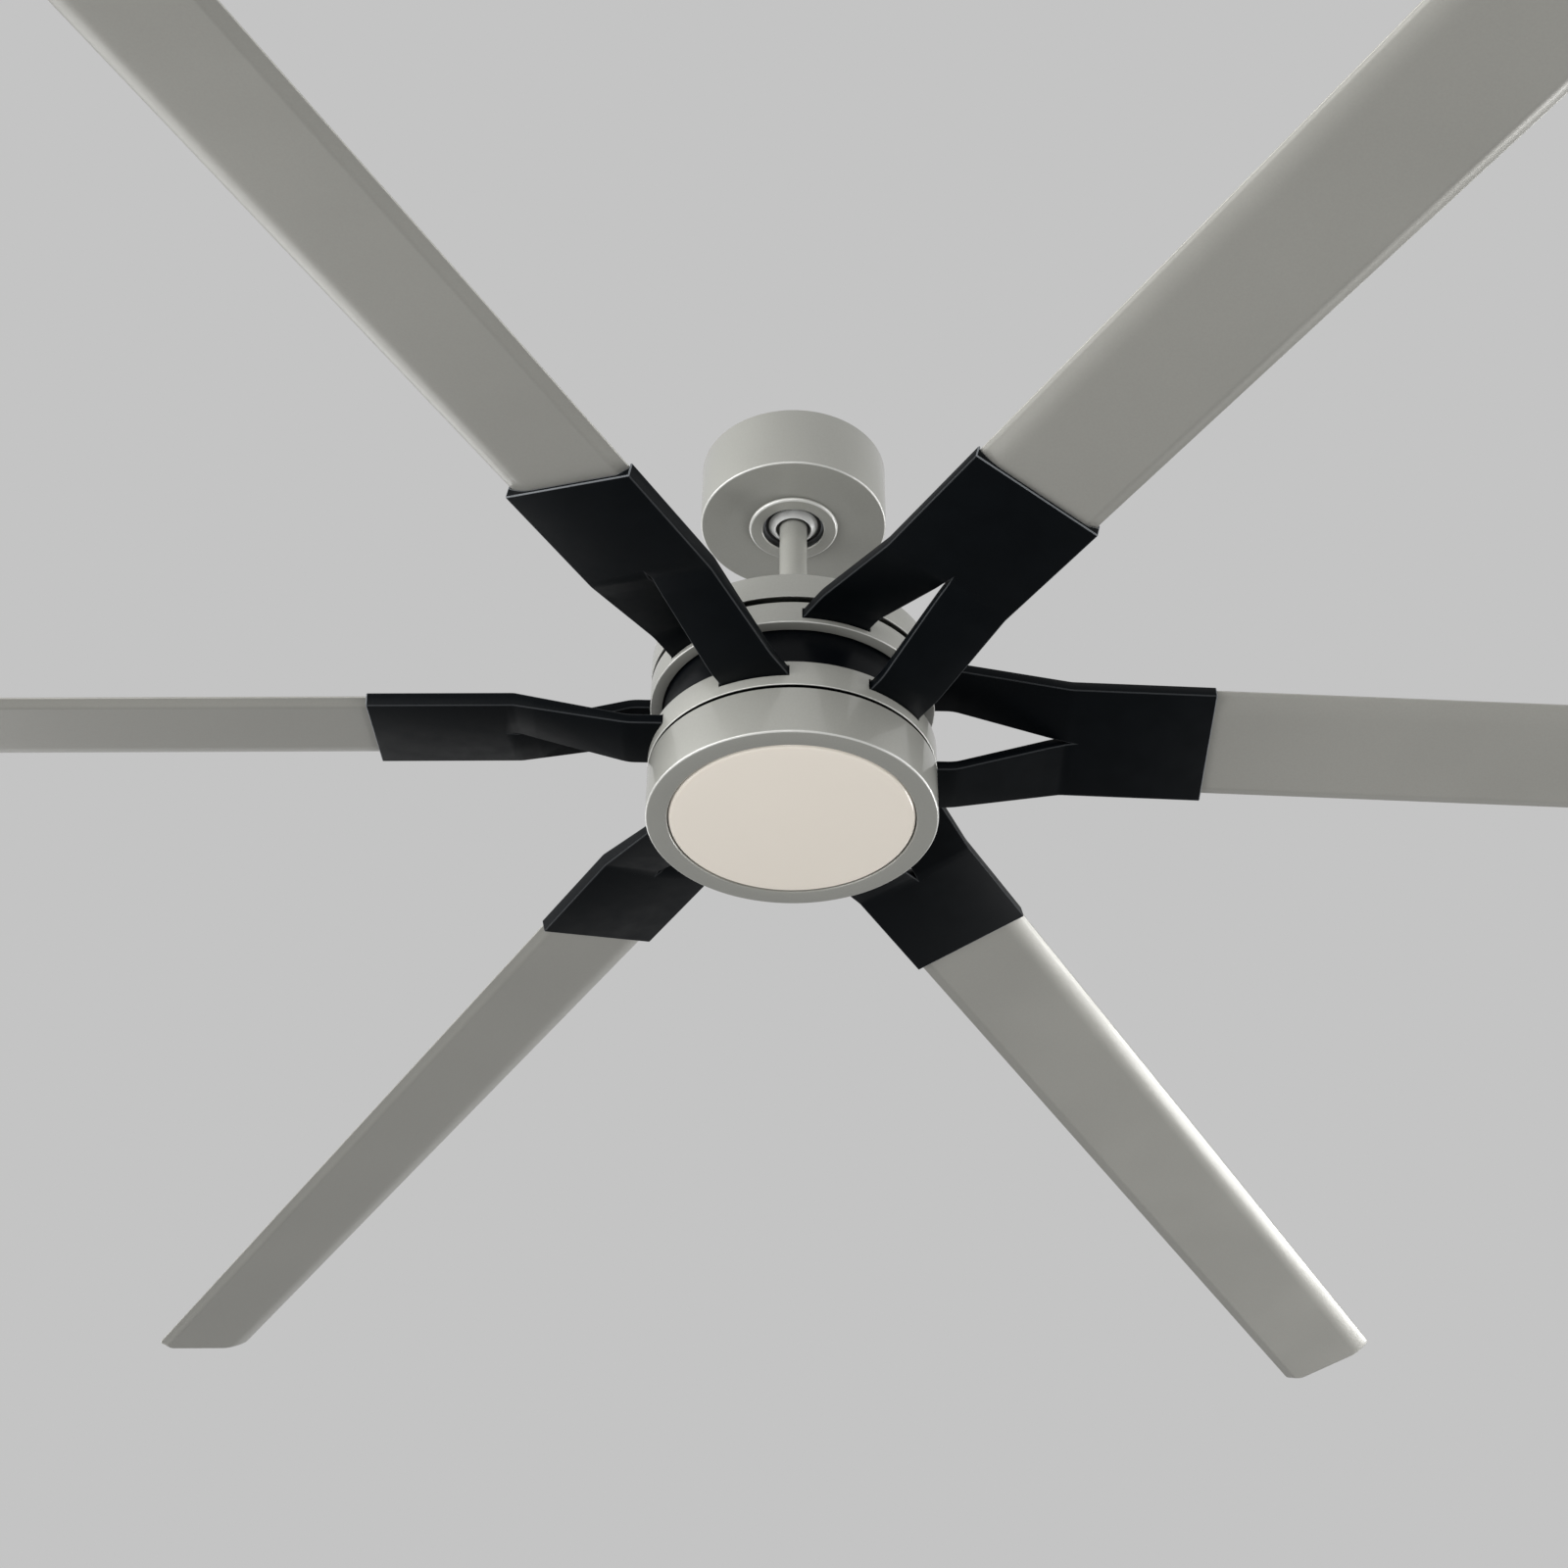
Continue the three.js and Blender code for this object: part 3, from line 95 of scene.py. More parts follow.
class FanSizes(PropertyGroup):
    """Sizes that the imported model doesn't state."""

    sides: IntProperty(name="Facets", description="Round a large turned cover", default=144, min=24)
    gap: length("Seat gap", "Between touching pieces", 0.3)
    crisp_edge: length("Crisp edge", "Rounding of a sheet's rim", 0.45)
    canopy_wall: length("Canopy wall", "Thickness of its sheet", 1.2)
    canopy_edge: length("Canopy edge", "Its rounding", 1.8)
    trim_wall: length("Trim wall", "Trim ring's sheet", 1.0)
    trim_hole: length("Trim hole", "Its radius", 24.3)
    trim_rim: length("Trim rim", "Rounding of that hole", 1.3)
    trim_edge: length("Trim edge", "Outer rounding", 2.8)
    collar_inset: length("Collar inset", "Distance behind that hole", 4.0)
    rod_wall: length("Rod wall", "Downrod's tube", 2.9)
    pin_bore: length("Pin bore", "Radius for a pin", 3.3)
    ball_radius: length("Ball", "Its visible radius", 24.6)
    ball_drop: length("Ball drop", "Below the swivel", 1.8)
    ball_mouth: length("Ball mouth", "Its radius", 14.4)
    ball_lip: length("Ball lip", "Height of that rim", 1.4)
    ball_hollow: length("Ball hollow", "Radius inside", 19.0)
    liner_wall: length("Liner wall", "Ball's liner", 1.5)
    dome_round: length("Dome", "Coupling cover's shoulder", 14.0)
    dome_wall: length("Dome wall", "Coupling cover's sheet", 1.2)
    cover_wall: length("Cover wall", "Hub covers' sheet", 1.5)
    cap_edge: length("Cap edge", "Upper rounding", 3.0)
    cap_hole: length("Cap hole", "Its radius", 17.3)
    ring_lip: length("Ring lip", "Its thickness", 1.2)
    lip_reach: length("Lip reach", "How far it comes in", 9.2)
    ring_edge: length("Ring edge", "Lipped edge's rounding", 1.1)
    foot_rise: length("Foot rise", "Lower ring's bottom edge", 0.4)
    foot_wall: length("Foot wall", "Sheet at that edge", 0.9)
    foot_taper: length("Foot taper", "Height of its inner slope", 1.6)
    slot_notch: length("Slot notch", "Slot past its tab", 1.9)
    slot_play: length("Slot play", "Gap round a tab", 0.7)
    drum_wall: length("Drum wall", "Its thickness", 4.5)
    light_edge: length("Light edge", "Lower rounding", 1.8)
    hole_edge: length("Hole edge", "Roll round the lens", 1.2)
    hole_collar: length("Hole collar", "Height of that roll", 7.0)
    shaft_hole: length("Shaft hole", "In the housing", 8.8)
    lens_gap: length("Lens gap", "Round the lens", 0.5)
    lens_edge: length("Lens edge", "Its rounding", 3.4)
    lens_wall: length("Lens wall", "Its thickness", 2.0)
    pitch: FloatProperty(name="Pitch", description="Of a blade", default=math.radians(13.7), subtype="ANGLE")
    droop: FloatProperty(name="Droop", description="Of a blade", default=math.radians(1.6), subtype="ANGLE")
    tray_width: length("Tray width", "Along the chord", 100.7)
    tray_floor: length("Tray floor", "Under the blade", 3.0)
    tray_wall: length("Tray wall", "Height of its sides", 10.4)
    tray_start: length("Tray start", "Where arms begin", 204.5)
    tray_end: length("Tray end", "Its outer end", 311.3)
    tray_root: length("Tray root", "Before the blade", 9.5)
    arm_bend: length("Arm bend", "Where arms turn level", 121.0)
    arm_round: length("Arm rounding", "Rounding of bends", 5.0)
    arm_slit: length("Arm slit", "Half its width", 0.7)
    slit_end: length("Slit end", "Half its eye's width", 1.1)
    slit_past: length("Slit past", "Eye past tray start", 5.5)
    tab_thick: length("Tab", "Bracket tabs' thickness", 7.9)
    tab_end: length("Tab end", "Inner end of the tabs", 70.0)
    plane_rise: length("Plane rise", "Tray over tabs", 4.65)
    blade_inset: length("Blade inset", "From the tray's edge", 1.9)
    blade_thick: length("Blade", "Thickness at its crown", 9.5)
    edge_thick: length("Blade edge", "Its thickness", 1.6)
    lead_rise: length("Leading rise", "Edge's curl up", 4.4)
    lead_curl: length("Leading curl", "Its width", 19.3)
    trail_rise: length("Trailing rise", "Fold's lift", 3.9)
    trail_fold: length("Trailing fold", "Its width", 8.1)
    fold_round: length("Fold", "Half its rounding", 1.6)
    tip_corner: length("Tip corner", "Rounding in plan", 10.0)
    clamp_length: length("Clamp length", "Along the blade", 74.0)
    clamp_width: length("Clamp width", "Across the blade", 26.0)
    clamp_thick: length("Clamp", "Plate's thickness", 2.5)
    clamp_corner: length("Clamp corner", "Rounding in plan", 5.0)
    screw_spacing: length("Screws", "Clamp screws apart", 46.0)
    screw_radius: length("Screw", "Its head's radius", 4.3)
    screw_height: length("Screw height", "Height of its head", 2.8)


def tint(name, description, hex_colour):
    """A colour property, its default given as an sRGB hex colour."""
    default = linear(hex_colour)
    return FloatVectorProperty(name=name, description=description, default=default, subtype="COLOR")


class FanColours(PropertyGroup):
    """Base colours of the finishes."""

    silver: tint("Silver paint", "On the covers", "#9b9b95")
    blade: tint("Blade paint", "On the blades", "#9f9e98")
    black: tint("Black powder coat", "On the brackets", "#05080b")
    opal: tint("Opal acrylic", "Milky warm lens", "#f3ebdf")
    backdrop: tint("Backdrop", "Pale grey round the fan", "#c4c4c4")
    floor: tint("Floor", "Pale floor under the fan", "#f2f2f2")


def sizes():
    """The fan's sizes, with lengths in millimetres and angles in radians."""
    group = bpy.context.scene.fan_sizes
    values = {key: getattr(group, key) for key in FanSizes.__annotations__}
    for key in values:
        if group.bl_rna.properties[key].unit == "LENGTH":
            values[key] /= MM
    return SimpleNamespace(**values)


def colours():
    return bpy.context.scene.fan_colours


# Node trees and finishes
def add_node(tree, kind, inputs=None, **settings):
    """Adds a node, sets its properties, and gives inputs, by name or number, a value or a link."""
    node = tree.nodes.new(kind)
    for key, value in settings.items():
        setattr(node, key, value)
    for key, value in (inputs or {}).items():
        if isinstance(value, bpy.types.NodeSocket):
            tree.links.new(value, node.inputs[key])
        else:
            node.inputs[key].default_value = value
    return node


def finish(name, colour, metallic, roughness, **sockets):
    """A Principled material with constants on its own sockets; returns it with its tree and shader."""
    material = bpy.data.materials.new(name)
    material.use_nodes = True
    tree = material.node_tree
    shader = tree.nodes["Principled BSDF"]
    sockets.update(Base_Color=[*colour[:3], 1], Metallic=metallic, Roughness=roughness)
    for key, value in sockets.items():
        shader.inputs[key.replace("_", " ")].default_value = value
    return material, tree, shader


def noise_of(tree, size_mm, detail=2.0):
    """A noise of a real size on the piece's own coordinates."""
    place = add_node(tree, "ShaderNodeTexCoord").outputs["Object"]
    settings = {"Vector": place, "Scale": 1 / (size_mm * MM), "Detail": detail}
    return add_node(tree, "ShaderNodeTexNoise", settings).outputs["Fac"]


def mottled(tree, shader, colour, size_mm, contrast, fine_mm=None):
    """Varies the base colour a little with a noise, and with a finer one on top."""
    broad = share = noise_of(tree, size_mm, 3.0)
    if fine_mm:
        both = add_node(tree, "ShaderNodeMix", {"Factor": 0.6, 2: broad, 3: noise_of(tree, fine_mm)})
        share = both.outputs[0]
    dark, light = ([*(c * (1 + side * contrast) for c in colour[:3]), 1] for side in (-1, 1))
    blend = add_node(tree, "ShaderNodeMix", {"Factor": share, 6: dark, 7: light}, data_type="RGBA")
    tree.links.new(blend.outputs[2], shader.inputs["Base Color"])
    return broad


def grained(tree, shader, size_mm, height_mm, strength):
    """A fine grain in the surface, of a real size and depth."""
    relief = {"Strength": strength, "Distance": height_mm * MM, "Height": noise_of(tree, size_mm)}
    bump = add_node(tree, "ShaderNodeBump", relief)
    tree.links.new(bump.outputs["Normal"], shader.inputs["Normal"])


def uneven_gloss(tree, shader, noise, low, high):
    """Roughness that wanders between two values with a noise, most of which lies between 0.3 and 0.7."""
    limits = {"Value": noise, "From Min": 0.3, "From Max": 0.7, "To Min": low, "To Max": high}
    mapped = add_node(tree, "ShaderNodeMapRange", limits)
    tree.links.new(mapped.outputs["Result"], shader.inputs["Roughness"])


def lighten_marked_edges(tree, shader, hex_colour):
    """A lighter colour on the faces that the attribute marks: a painted edge highlight, which on the
    brackets also stands partly for a thinner coat.
    """
    rubbed = add_node(tree, "ShaderNodeAttribute", attribute_name="rubbed_edge").outputs["Fac"]
    plain = shader.inputs["Base Color"].links[0].from_socket
    sockets = {0: rubbed, 6: plain, 7: [*linear(hex_colour), 1]}
    lightened = add_node(tree, "ShaderNodeMix", sockets, data_type="RGBA")
    tree.links.new(lightened.outputs[2], shader.inputs["Base Color"])


def layered(name, colour, metallic, roughness, clouds, gloss=None, rubbed=None, grain=None, **sockets):
    """A finish in layers, whose colour is a hex one or the name of a property.

    Clouds are a size in millimetres, a contrast, and the size of a finer noise where there is one.
    Gloss is the range of the roughness. The edge colour, where given, goes on marked edges as a painted
    highlight. Grain is a size and a depth in millimetres, and a strength.
    """
    base = linear(colour) if colour.startswith("#") else getattr(colours(), colour)
    material, tree, shader = finish(name, base, metallic, roughness, **sockets)
    broad = mottled(tree, shader, base, *clouds)
    if gloss:
        uneven_gloss(tree, shader, broad, *gloss)
    # A lighter colour on marked edges: a painted highlight.
    if rubbed:
        lighten_marked_edges(tree, shader, rubbed)
    if grain:
        grained(tree, shader, *grain)
    return material


def plain_coat(name, colour, roughness, grain_mm, metallic=0.0, clouds=(15, 0.05), rise=0.05):
    """A moulded plastic or a coat with a fine even grain."""
    gloss = (roughness - 0.05, roughness + rise)
    return layered(name, colour, metallic, roughness, clouds, gloss, grain=(grain_mm, 0.02, 0.3))


def plain_metal(*values):
    """A bare metal with a fine grain, cloudier than a coat."""
    return plain_coat(*values, 1.0, (12, 0.06), 0.08)


# Each finish: its maker, the maker's values in order, and other sockets of the shader.
# Real flakes are near 0.03 mm and a powder coat's grain near 0.2 mm; they are drawn coarser to show.
FINISHES = {
    # Sprayed silver metallic lacquer on pressed steel: a soft satin sheen with very fine flakes. Its lighter
    # colour on the rounded lower edges is a painted highlight.
    "silver": (
        layered, "satin_silver_lacquer", "silver", 0.2, 0.44, (60, 0.09, 1.5), (0.4, 0.48), "#c6c6c2",
        (1.0, 0.01, 0.08), {"Coat_Weight": 0.8, "Coat_Roughness": 0.07},
    ),
    # The same lacquer over an aluminium extrusion: a little darker and flatter.
    "blade": (
        layered, "satin_silver_lacquer_on_extrusion", "blade", 0.35, 0.42, (120, 0.09, 1.5), (0.41, 0.5),
        {"Coat_Weight": 0.5, "Coat_Roughness": 0.2},
    ),
    # Fine-textured powder coat on cast aluminium: nearly no gloss, with a faint orange peel. Its lighter
    # colour on the edges is a painted highlight and partly a thinner coat.
    "black": (
        layered, "black_powder_coat", "black", 0.0, 0.45, (18, 0.25), (0.4, 0.5), "#6e7174",
        (0.6, 0.03, 0.35), {"Specular_IOR_Level": 0.07},
    ),
    # Smooth black enamel on the steel drum: darker and glossier than the brackets.
    "drum": (
        layered, "black_drum_enamel", "#05070a", 0.0, 0.3, (30, 0.2), (0.28, 0.36),
        {"Specular_IOR_Level": 0.12},
    ),
    # Moulded opal acrylic: milky right through, smooth and slightly glossy.
    "opal": (layered, "opal_acrylic", "opal", 0.0, 0.12, (90, 0.015), {"IOR": 1.49}),
    # Electroplated steel: cool, half bright and a little cloudy.
    "zinc": (plain_metal, "zinc_plated_steel", "#9a9ca0", 0.38, 0.8),
    # Phosphated and oiled steel: a dead black without a highlight. On the clamp ring and screws it is also
    # painted shade for the gap between the cap and the upper ring.
    "black_zinc": (plain_coat, "black_phosphate_coat", "#08090a", 0.6, 0.8),
    # Ground steel: the brightest metal, with tight highlights.
    "steel": (plain_metal, "ground_steel", "#b7babd", 0.25, 0.4),
    # Stacked stampings: dark grey and dull.
    "lamination": (plain_metal, "silicon_steel_laminations", "#5b5d61", 0.5, 0.5),
    # Die-cast aluminium: pale grey with a coarse, soft skin.
    "cast": (plain_metal, "die_cast_aluminium", "#8e9194", 0.5, 1.2),
    # Varnished winding wire: warm orange brown.
    "copper": (plain_metal, "enamelled_copper_wire", "#b0643a", 0.35, 0.9),
    # Bonded ferrite: nearly black, and rough.
    "magnet": (plain_metal, "bonded_ferrite", "#3a3c41", 0.6, 0.8),
    # Moulded nylon: pale and waxy, with a soft shine.
    "white_nylon": (plain_coat, "white_nylon", "#c4c5c3", 0.3, 0.5),
    # Moulded black nylon: deep black and matte.
    "black_nylon": (plain_coat, "black_nylon", "#0b0c0d", 0.55, 0.5),
    # Spark-eroded ABS: an even charcoal.
    "receiver": (plain_coat, "black_abs", "#1c1e20", 0.5, 0.6),
    # Solder mask on glass fibre: flat dark green.
    "board": (plain_coat, "green_circuit_board", "#27553a", 0.5, 0.5),
    # Baked white enamel: clean and softly shiny.
    "white_enamel": (plain_coat, "white_baked_enamel", "#e6e6e2", 0.4, 0.6),
    # White solder mask: chalky.
    "white_board": (plain_coat, "white_led_board", "#eceae4", 0.5, 0.5),
    # Extruded PVC sheath: plain dark grey.
    "wiring": (plain_coat, "grey_pvc_sheath", "#3a3c3f", 0.5, 0.6),
}


@cache
def material_for(key):
    """The named finish, made the first time it is asked for."""
    maker, *values = FINISHES[key]
    sockets = values.pop() if isinstance(values[-1], dict) else {}
    return maker(*values, **sockets)


# Meshes
def filleted(corners, steps=4):
    """A closed outline from (x, y, fillet) corners, with each fillet drawn as an arc."""
    points = []
    for i, (x, y, fillet) in enumerate(corners):
        here = Vector((x, y))
        to_last = (Vector(corners[i - 1][:2]) - here).normalized()
        to_next = (Vector(corners[(i + 1) % len(corners)][:2]) - here).normalized()
        half = to_last.angle(to_next) / 2
        tangent = fillet / math.tan(half)
        centre = here + (to_last + to_next).normalized() * fillet / math.sin(half)
        start = here + to_last * tangent - centre
        end = here + to_next * tangent - centre
        points += [centre + start.slerp(end, k / steps).normalized() * fillet for k in range(steps + 1)]
    return [(p[0], p[1]) for p in points]


def rectangle(left, right, near, far, *fillet):
    """The corners of a rectangle, each with the fillet where one is given."""
    return [(x, y, *fillet) for x, y in ((left, near), (right, near), (right, far), (left, far))]


def arc(x, y, radius, start, end, steps):
    """Points of an arc, its angles in degrees."""
    angles = [math.radians(start + (end - start) * k / steps) for k in range(steps + 1)]
    return [(x + radius * math.cos(a), y + radius * math.sin(a)) for a in angles]


def object_from(name, mesh_maker):
    """A new object whose mesh is filled by a function that is given a bmesh."""
    bm = bmesh.new()
    mesh_maker(bm)
    bmesh.ops.remove_doubles(bm, verts=bm.verts, dist=1e-6)
    bmesh.ops.recalc_face_normals(bm, faces=bm.faces)
    mesh = bpy.data.meshes.new(name)
    bm.to_mesh(mesh)
    bm.free()
    piece = bpy.data.objects.new(name, mesh)
    bpy.context.scene.collection.objects.link(piece)
    return piece


def skin(bm, sections, closed_round=False, open_from=math.inf):
    """Faces over sections with the same number of points, closed in a ring or with end caps.

    From the section open_from on, the side between the last point and the first is left open.
    """
    rows = [[bm.verts.new(point) for point in section] for section in sections]
    pairs = list(zip(rows, rows[1:]))
    if closed_round:
        pairs.append((rows[-1], rows[0]))
    for i, (near, far) in enumerate(pairs):
        for k in range(len(near) - (i >= open_from)):
            nxt = (k + 1) % len(near)
            bm.faces.new((near[k], near[nxt], far[nxt], far[k]))
    if not closed_round:
        bm.faces.new(rows[0])
        bm.faces.new(rows[-1])


def turned(name, outline, sides=None):
    """A piece turned about the fan's axis from a closed outline of (radius, height) in millimetres.

    The middle of each rounded lower outer edge is marked for a lighter colour, a painted highlight.
    """
    sides = sides or sizes().sides
    sections = []
    for k in range(sides):
        angle = math.tau * k / sides
        across = Vector((math.cos(angle), math.sin(angle), 0))
        sections.append([across * r * MM + Vector((0, 0, z * MM)) for r, z in outline])
    piece = object_from(name, lambda bm: skin(bm, sections, closed_round=True))
    # Marks the faces that get the lighter colour of a painted edge highlight.
    rubbed = piece.data.attributes.new("rubbed_edge", "FLOAT", "FACE")
    for face, mark in zip(piece.data.polygons, rubbed.data):
        outward = face.center.xy.dot(face.normal.xy) > 0
        mark.value = float(outward and -0.94 < face.normal.z < -0.35)
    return piece


def tube(name, inner, outer, low, high, sides=None):
    """A turned tube with softened rims."""
    rims = [(inner, low, 0.3), (outer, low, 0.6), (outer, high, 0.6), (inner, high, 0.3)]
    return turned(name, filleted(rims), sides)


def prism(name, outline, bottom, top):
    """An upright prism over a closed outline in millimetres."""
    sections = [[Vector((x, y, z)) * MM for x, y in outline] for z in (bottom, top)]
    return object_from(name, lambda bm: skin(bm, sections))


def box_cutter(xs, ys, zs):
    return prism("cut", rectangle(*xs, *ys), *zs)


def pin_cutter(radius, half, z):
    """A level bar along X through the axis."""
    points = arc(0, z, radius, 0, 360, 32)[:-1]
    sections = [[Vector((x, y, height)) * MM for y, height in points] for x in (-half, half)]
    return object_from("cut", lambda bm: skin(bm, sections))


def applied(piece):
    """The piece with its modifiers worked into its mesh."""
    graph = bpy.context.evaluated_depsgraph_get()
    final = piece.evaluated_get(graph)
    mesh = bpy.data.meshes.new_from_object(final, preserve_all_data_layers=True, depsgraph=graph)
    old = piece.data
    piece.modifiers.clear()
    piece.data = mesh
    bpy.data.meshes.remove(old)
    return piece


def combined(piece, others, operation):
    """Joins or cuts the piece with others, which are used up."""
    for other in others:
        modifier = piece.modifiers.new("combine", "BOOLEAN")
        modifier.operation = operation
        modifier.solver = "EXACT"
        modifier.object = other
        applied(piece)
        bpy.data.objects.remove(other)
    return piece


def eased(piece, width_mm, segments, angle, lightened_past_mm=None):
    """The piece with its hard edges rounded a little.

    The new faces can be marked for a lighter colour, a painted highlight that stands partly for a thinner
    coat: fully past a distance along X, and faintly before it.
    """
    marks = lightened_past_mm is not None
    if marks:
        # The bevel gives its faces the second slot, which tells them from the others.
        for _ in range(2):
            piece.data.materials.append(None)
    modifier = piece.modifiers.new("ease", "BEVEL")
    modifier.material = 1 if marks else -1
    modifier.width = width_mm * MM
    modifier.segments = segments
    modifier.limit_method = "ANGLE"
    modifier.angle_limit = math.radians(angle)
    applied(piece)
    if marks:
        # Marks the bevel's faces for a lighter colour: a painted highlight, partly a thinner coat at the
        # edges.
        rubbed = piece.data.attributes.new("rubbed_edge", "FLOAT", "FACE")
        for face, mark in zip(piece.data.polygons, rubbed.data):
            mark.value = face.material_index * (1.0 if face.center.x > lightened_past_mm * MM else 0.2)
            face.material_index = 0
    return piece


def dressed(piece, key, body, slot, *nodes, angle=35):
    """Gives the piece its finish, its shading and its body, and hides the CAD nodes that it stands for."""
    piece.data.materials.clear()
    piece.data.materials.append(material_for(key))
    piece.data.shade_smooth()
    piece.data.set_sharp_from_angle(angle=math.radians(angle))
    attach(piece, body)
    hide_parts(*nodes)


def silvered(piece, body, node):
    """Dresses a piece in the covers' silver lacquer."""
    dressed(piece, "silver", body, "silver_paint", node)


def painted(key, *nodes):
    """Gives CAD nodes that stay a finish."""
    for node in nodes:
        slots = frame["nodes"][node].data.materials
        slots.clear()
        slots.append(material_for(key))


# Geometry Nodes
def repeating_tree(name, place, **inputs):
    """A tree that repeats a piece, lets a function place the copies, and sets their finish."""
    tree = bpy.data.node_groups.new(name, "GeometryNodeTree")
    inputs = {"Geometry": ("Geometry", None), "Count": ("Int", 2), **inputs, "Finish": ("Material", None)}
    for key, (kind, default) in inputs.items():
        socket = tree.interface.new_socket(key, in_out="INPUT", socket_type="NodeSocket" + kind)
        if default is not None:
            socket.default_value = default
    tree.interface.new_socket("Geometry", in_out="OUTPUT", socket_type="NodeSocketGeometry")
    given = add_node(tree, "NodeGroupInput").outputs
    whole = add_node(tree, "GeometryNodeGeometryToInstance", {"Geometry": given["Geometry"]})
    wanted = {"Geometry": whole.outputs["Instances"], "Amount": given["Count"]}
    copies = add_node(tree, "GeometryNodeDuplicateElements", wanted, domain="INSTANCE").outputs
    placed = place(tree, given, copies["Geometry"], copies["Duplicate Index"])
    real = add_node(tree, "GeometryNodeRealizeInstances", {"Geometry": placed.outputs["Instances"]})
    coat = {"Geometry": real.outputs["Geometry"], "Material": given["Finish"]}
    coated = add_node(tree, "GeometryNodeSetMaterial", coat)
    add_node(tree, "NodeGroupOutput", {"Geometry": coated.outputs["Geometry"]})
    return tree


def round_the_axis(tree, given, copies, index):
    """Turns the copies about the fan's axis, evenly spaced."""
    step = add_node(tree, "ShaderNodeMath", {0: math.tau, 1: given["Count"]}, operation="DIVIDE")
    turn = add_node(tree, "ShaderNodeMath", {0: index, 1: step.outputs[0]}, operation="MULTIPLY")
    angles = add_node(tree, "ShaderNodeCombineXYZ", {"Z": turn.outputs[0]}).outputs["Vector"]
    motion = {"Instances": copies, "Rotation": angles, "Local Space": False}
    return add_node(tree, "GeometryNodeRotateInstances", motion)


def in_a_row(tree, given, copies, index):
    """Moves the copies along X, about the piece's own place."""
    last = add_node(tree, "ShaderNodeMath", {0: given["Count"], 1: 1.0}, operation="SUBTRACT")
    middle = add_node(tree, "ShaderNodeMath", {0: last.outputs[0], 1: 2.0}, operation="DIVIDE")
    place = add_node(tree, "ShaderNodeMath", {0: index, 1: middle.outputs[0]}, operation="SUBTRACT")
    shift = {0: place.outputs[0], 1: given["Spacing"]}
    offset = add_node(tree, "ShaderNodeMath", shift, operation="MULTIPLY")
    vector = add_node(tree, "ShaderNodeCombineXYZ", {"X": offset.outputs[0]}).outputs["Vector"]
    return add_node(tree, "GeometryNodeTranslateInstances", {"Instances": copies, "Translation": vector})


def repeated(piece, tree, **values):
    """Puts the piece through a geometry tree, with its inputs set by identifier."""
    modifier = piece.modifiers.new("repeat", "NODES")
    modifier.node_group = tree
    for item in tree.interface.items_tree:
        if item.in_out == "INPUT" and item.name in values:
            modifier[item.identifier] = values[item.name]
    return applied(piece)


def dressed_round(piece, name, key, slot, node, angle=35):
    """Repeats a blade's piece round the axis, and dresses the result in the place of the CAD nodes."""
    tree = bpy.data.node_groups.get("round_the_axis") or repeating_tree("round_the_axis", round_the_axis)
    repeated(piece, tree, Count=BLADES, Finish=material_for(key))
    piece.name = name
    dressed(piece, key, "rotor", slot, *(f"{node}_{i + 1}" for i in range(BLADES)), angle=angle)


def cup(radius, hole, rim, floor, wall, sheet, inside, edge):
    """Corners of a round cup of sheet, either way up, with a hole in its floor."""
    crisp = sizes().crisp_edge
    lined = floor + math.copysign(sheet, rim - floor)
    wall_corners = [(radius, rim, crisp), (radius - wall, rim, crisp), (radius - wall, lined, inside)]
    return [*wall_corners, (hole, lined, crisp), (hole, floor, crisp), (radius, floor, edge)]


# The ceiling side
class FAN_OT_canopy(Operator):
    """Turns the canopy and the trim ring under it"""

    bl_idname = "fan.canopy"
    bl_label = "Canopy and trim ring"

    def execute(self, context):
        size = sizes()
        sheet, wall = size.canopy_wall, size.trim_wall
        radius, wide = reach("canopy"), reach("canopy_trim_ring")
        low, high = span("canopy")
        bottom, top = span("canopy_trim_ring")
        collar = size.trim_hole + size.collar_inset
        hole = collar + wall + size.gap
        corners = cup(radius, hole, high, low, sheet, sheet, sheet, size.canopy_edge)
        silvered(turned("canopy_shell", filleted(corners)), "ceiling_side", "canopy")
        rim = low - size.gap
        corners = [
            (size.trim_hole, bottom, size.trim_rim), (wide, bottom, size.trim_edge),
            (wide, rim, 0.2), (wide - wall, rim, 0.2),
            (wide - wall, bottom + wall, size.trim_edge - wall),
            (collar + wall, bottom + wall, 0.3), (collar + wall, top, 0.2), (collar, top, 0.2),
            (collar, bottom + 2 * wall, 0.3),
            (size.trim_hole, bottom + 2 * wall, 2 * wall - size.trim_rim),
        ]
        silvered(turned("trim_ring_shell", filleted(corners)), "ceiling_side", "canopy_trim_ring")
        return {"FINISHED"}


class FAN_OT_ceiling_bracket(Operator):
    """Finishes the hanger bracket, the receiver and the canopy's screws"""

    bl_idname = "fan.ceiling_bracket"
    bl_label = "Ceiling bracket and receiver"

    def execute(self, context):
        painted("zinc", "hanger_bracket", "canopy_screw_1", "canopy_screw_2")
        low, high = (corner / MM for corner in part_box("receiver"))
        outline = filleted(rectangle(-high.x, high.x, low.y, high.y, 3.0), 6)
        receiver = eased(prism("receiver_case", outline, low.z, high.z), 1.0, 3, 32)
        dressed(receiver, "receiver", "ceiling_side", "black_plastic", "receiver")
        return {"FINISHED"}


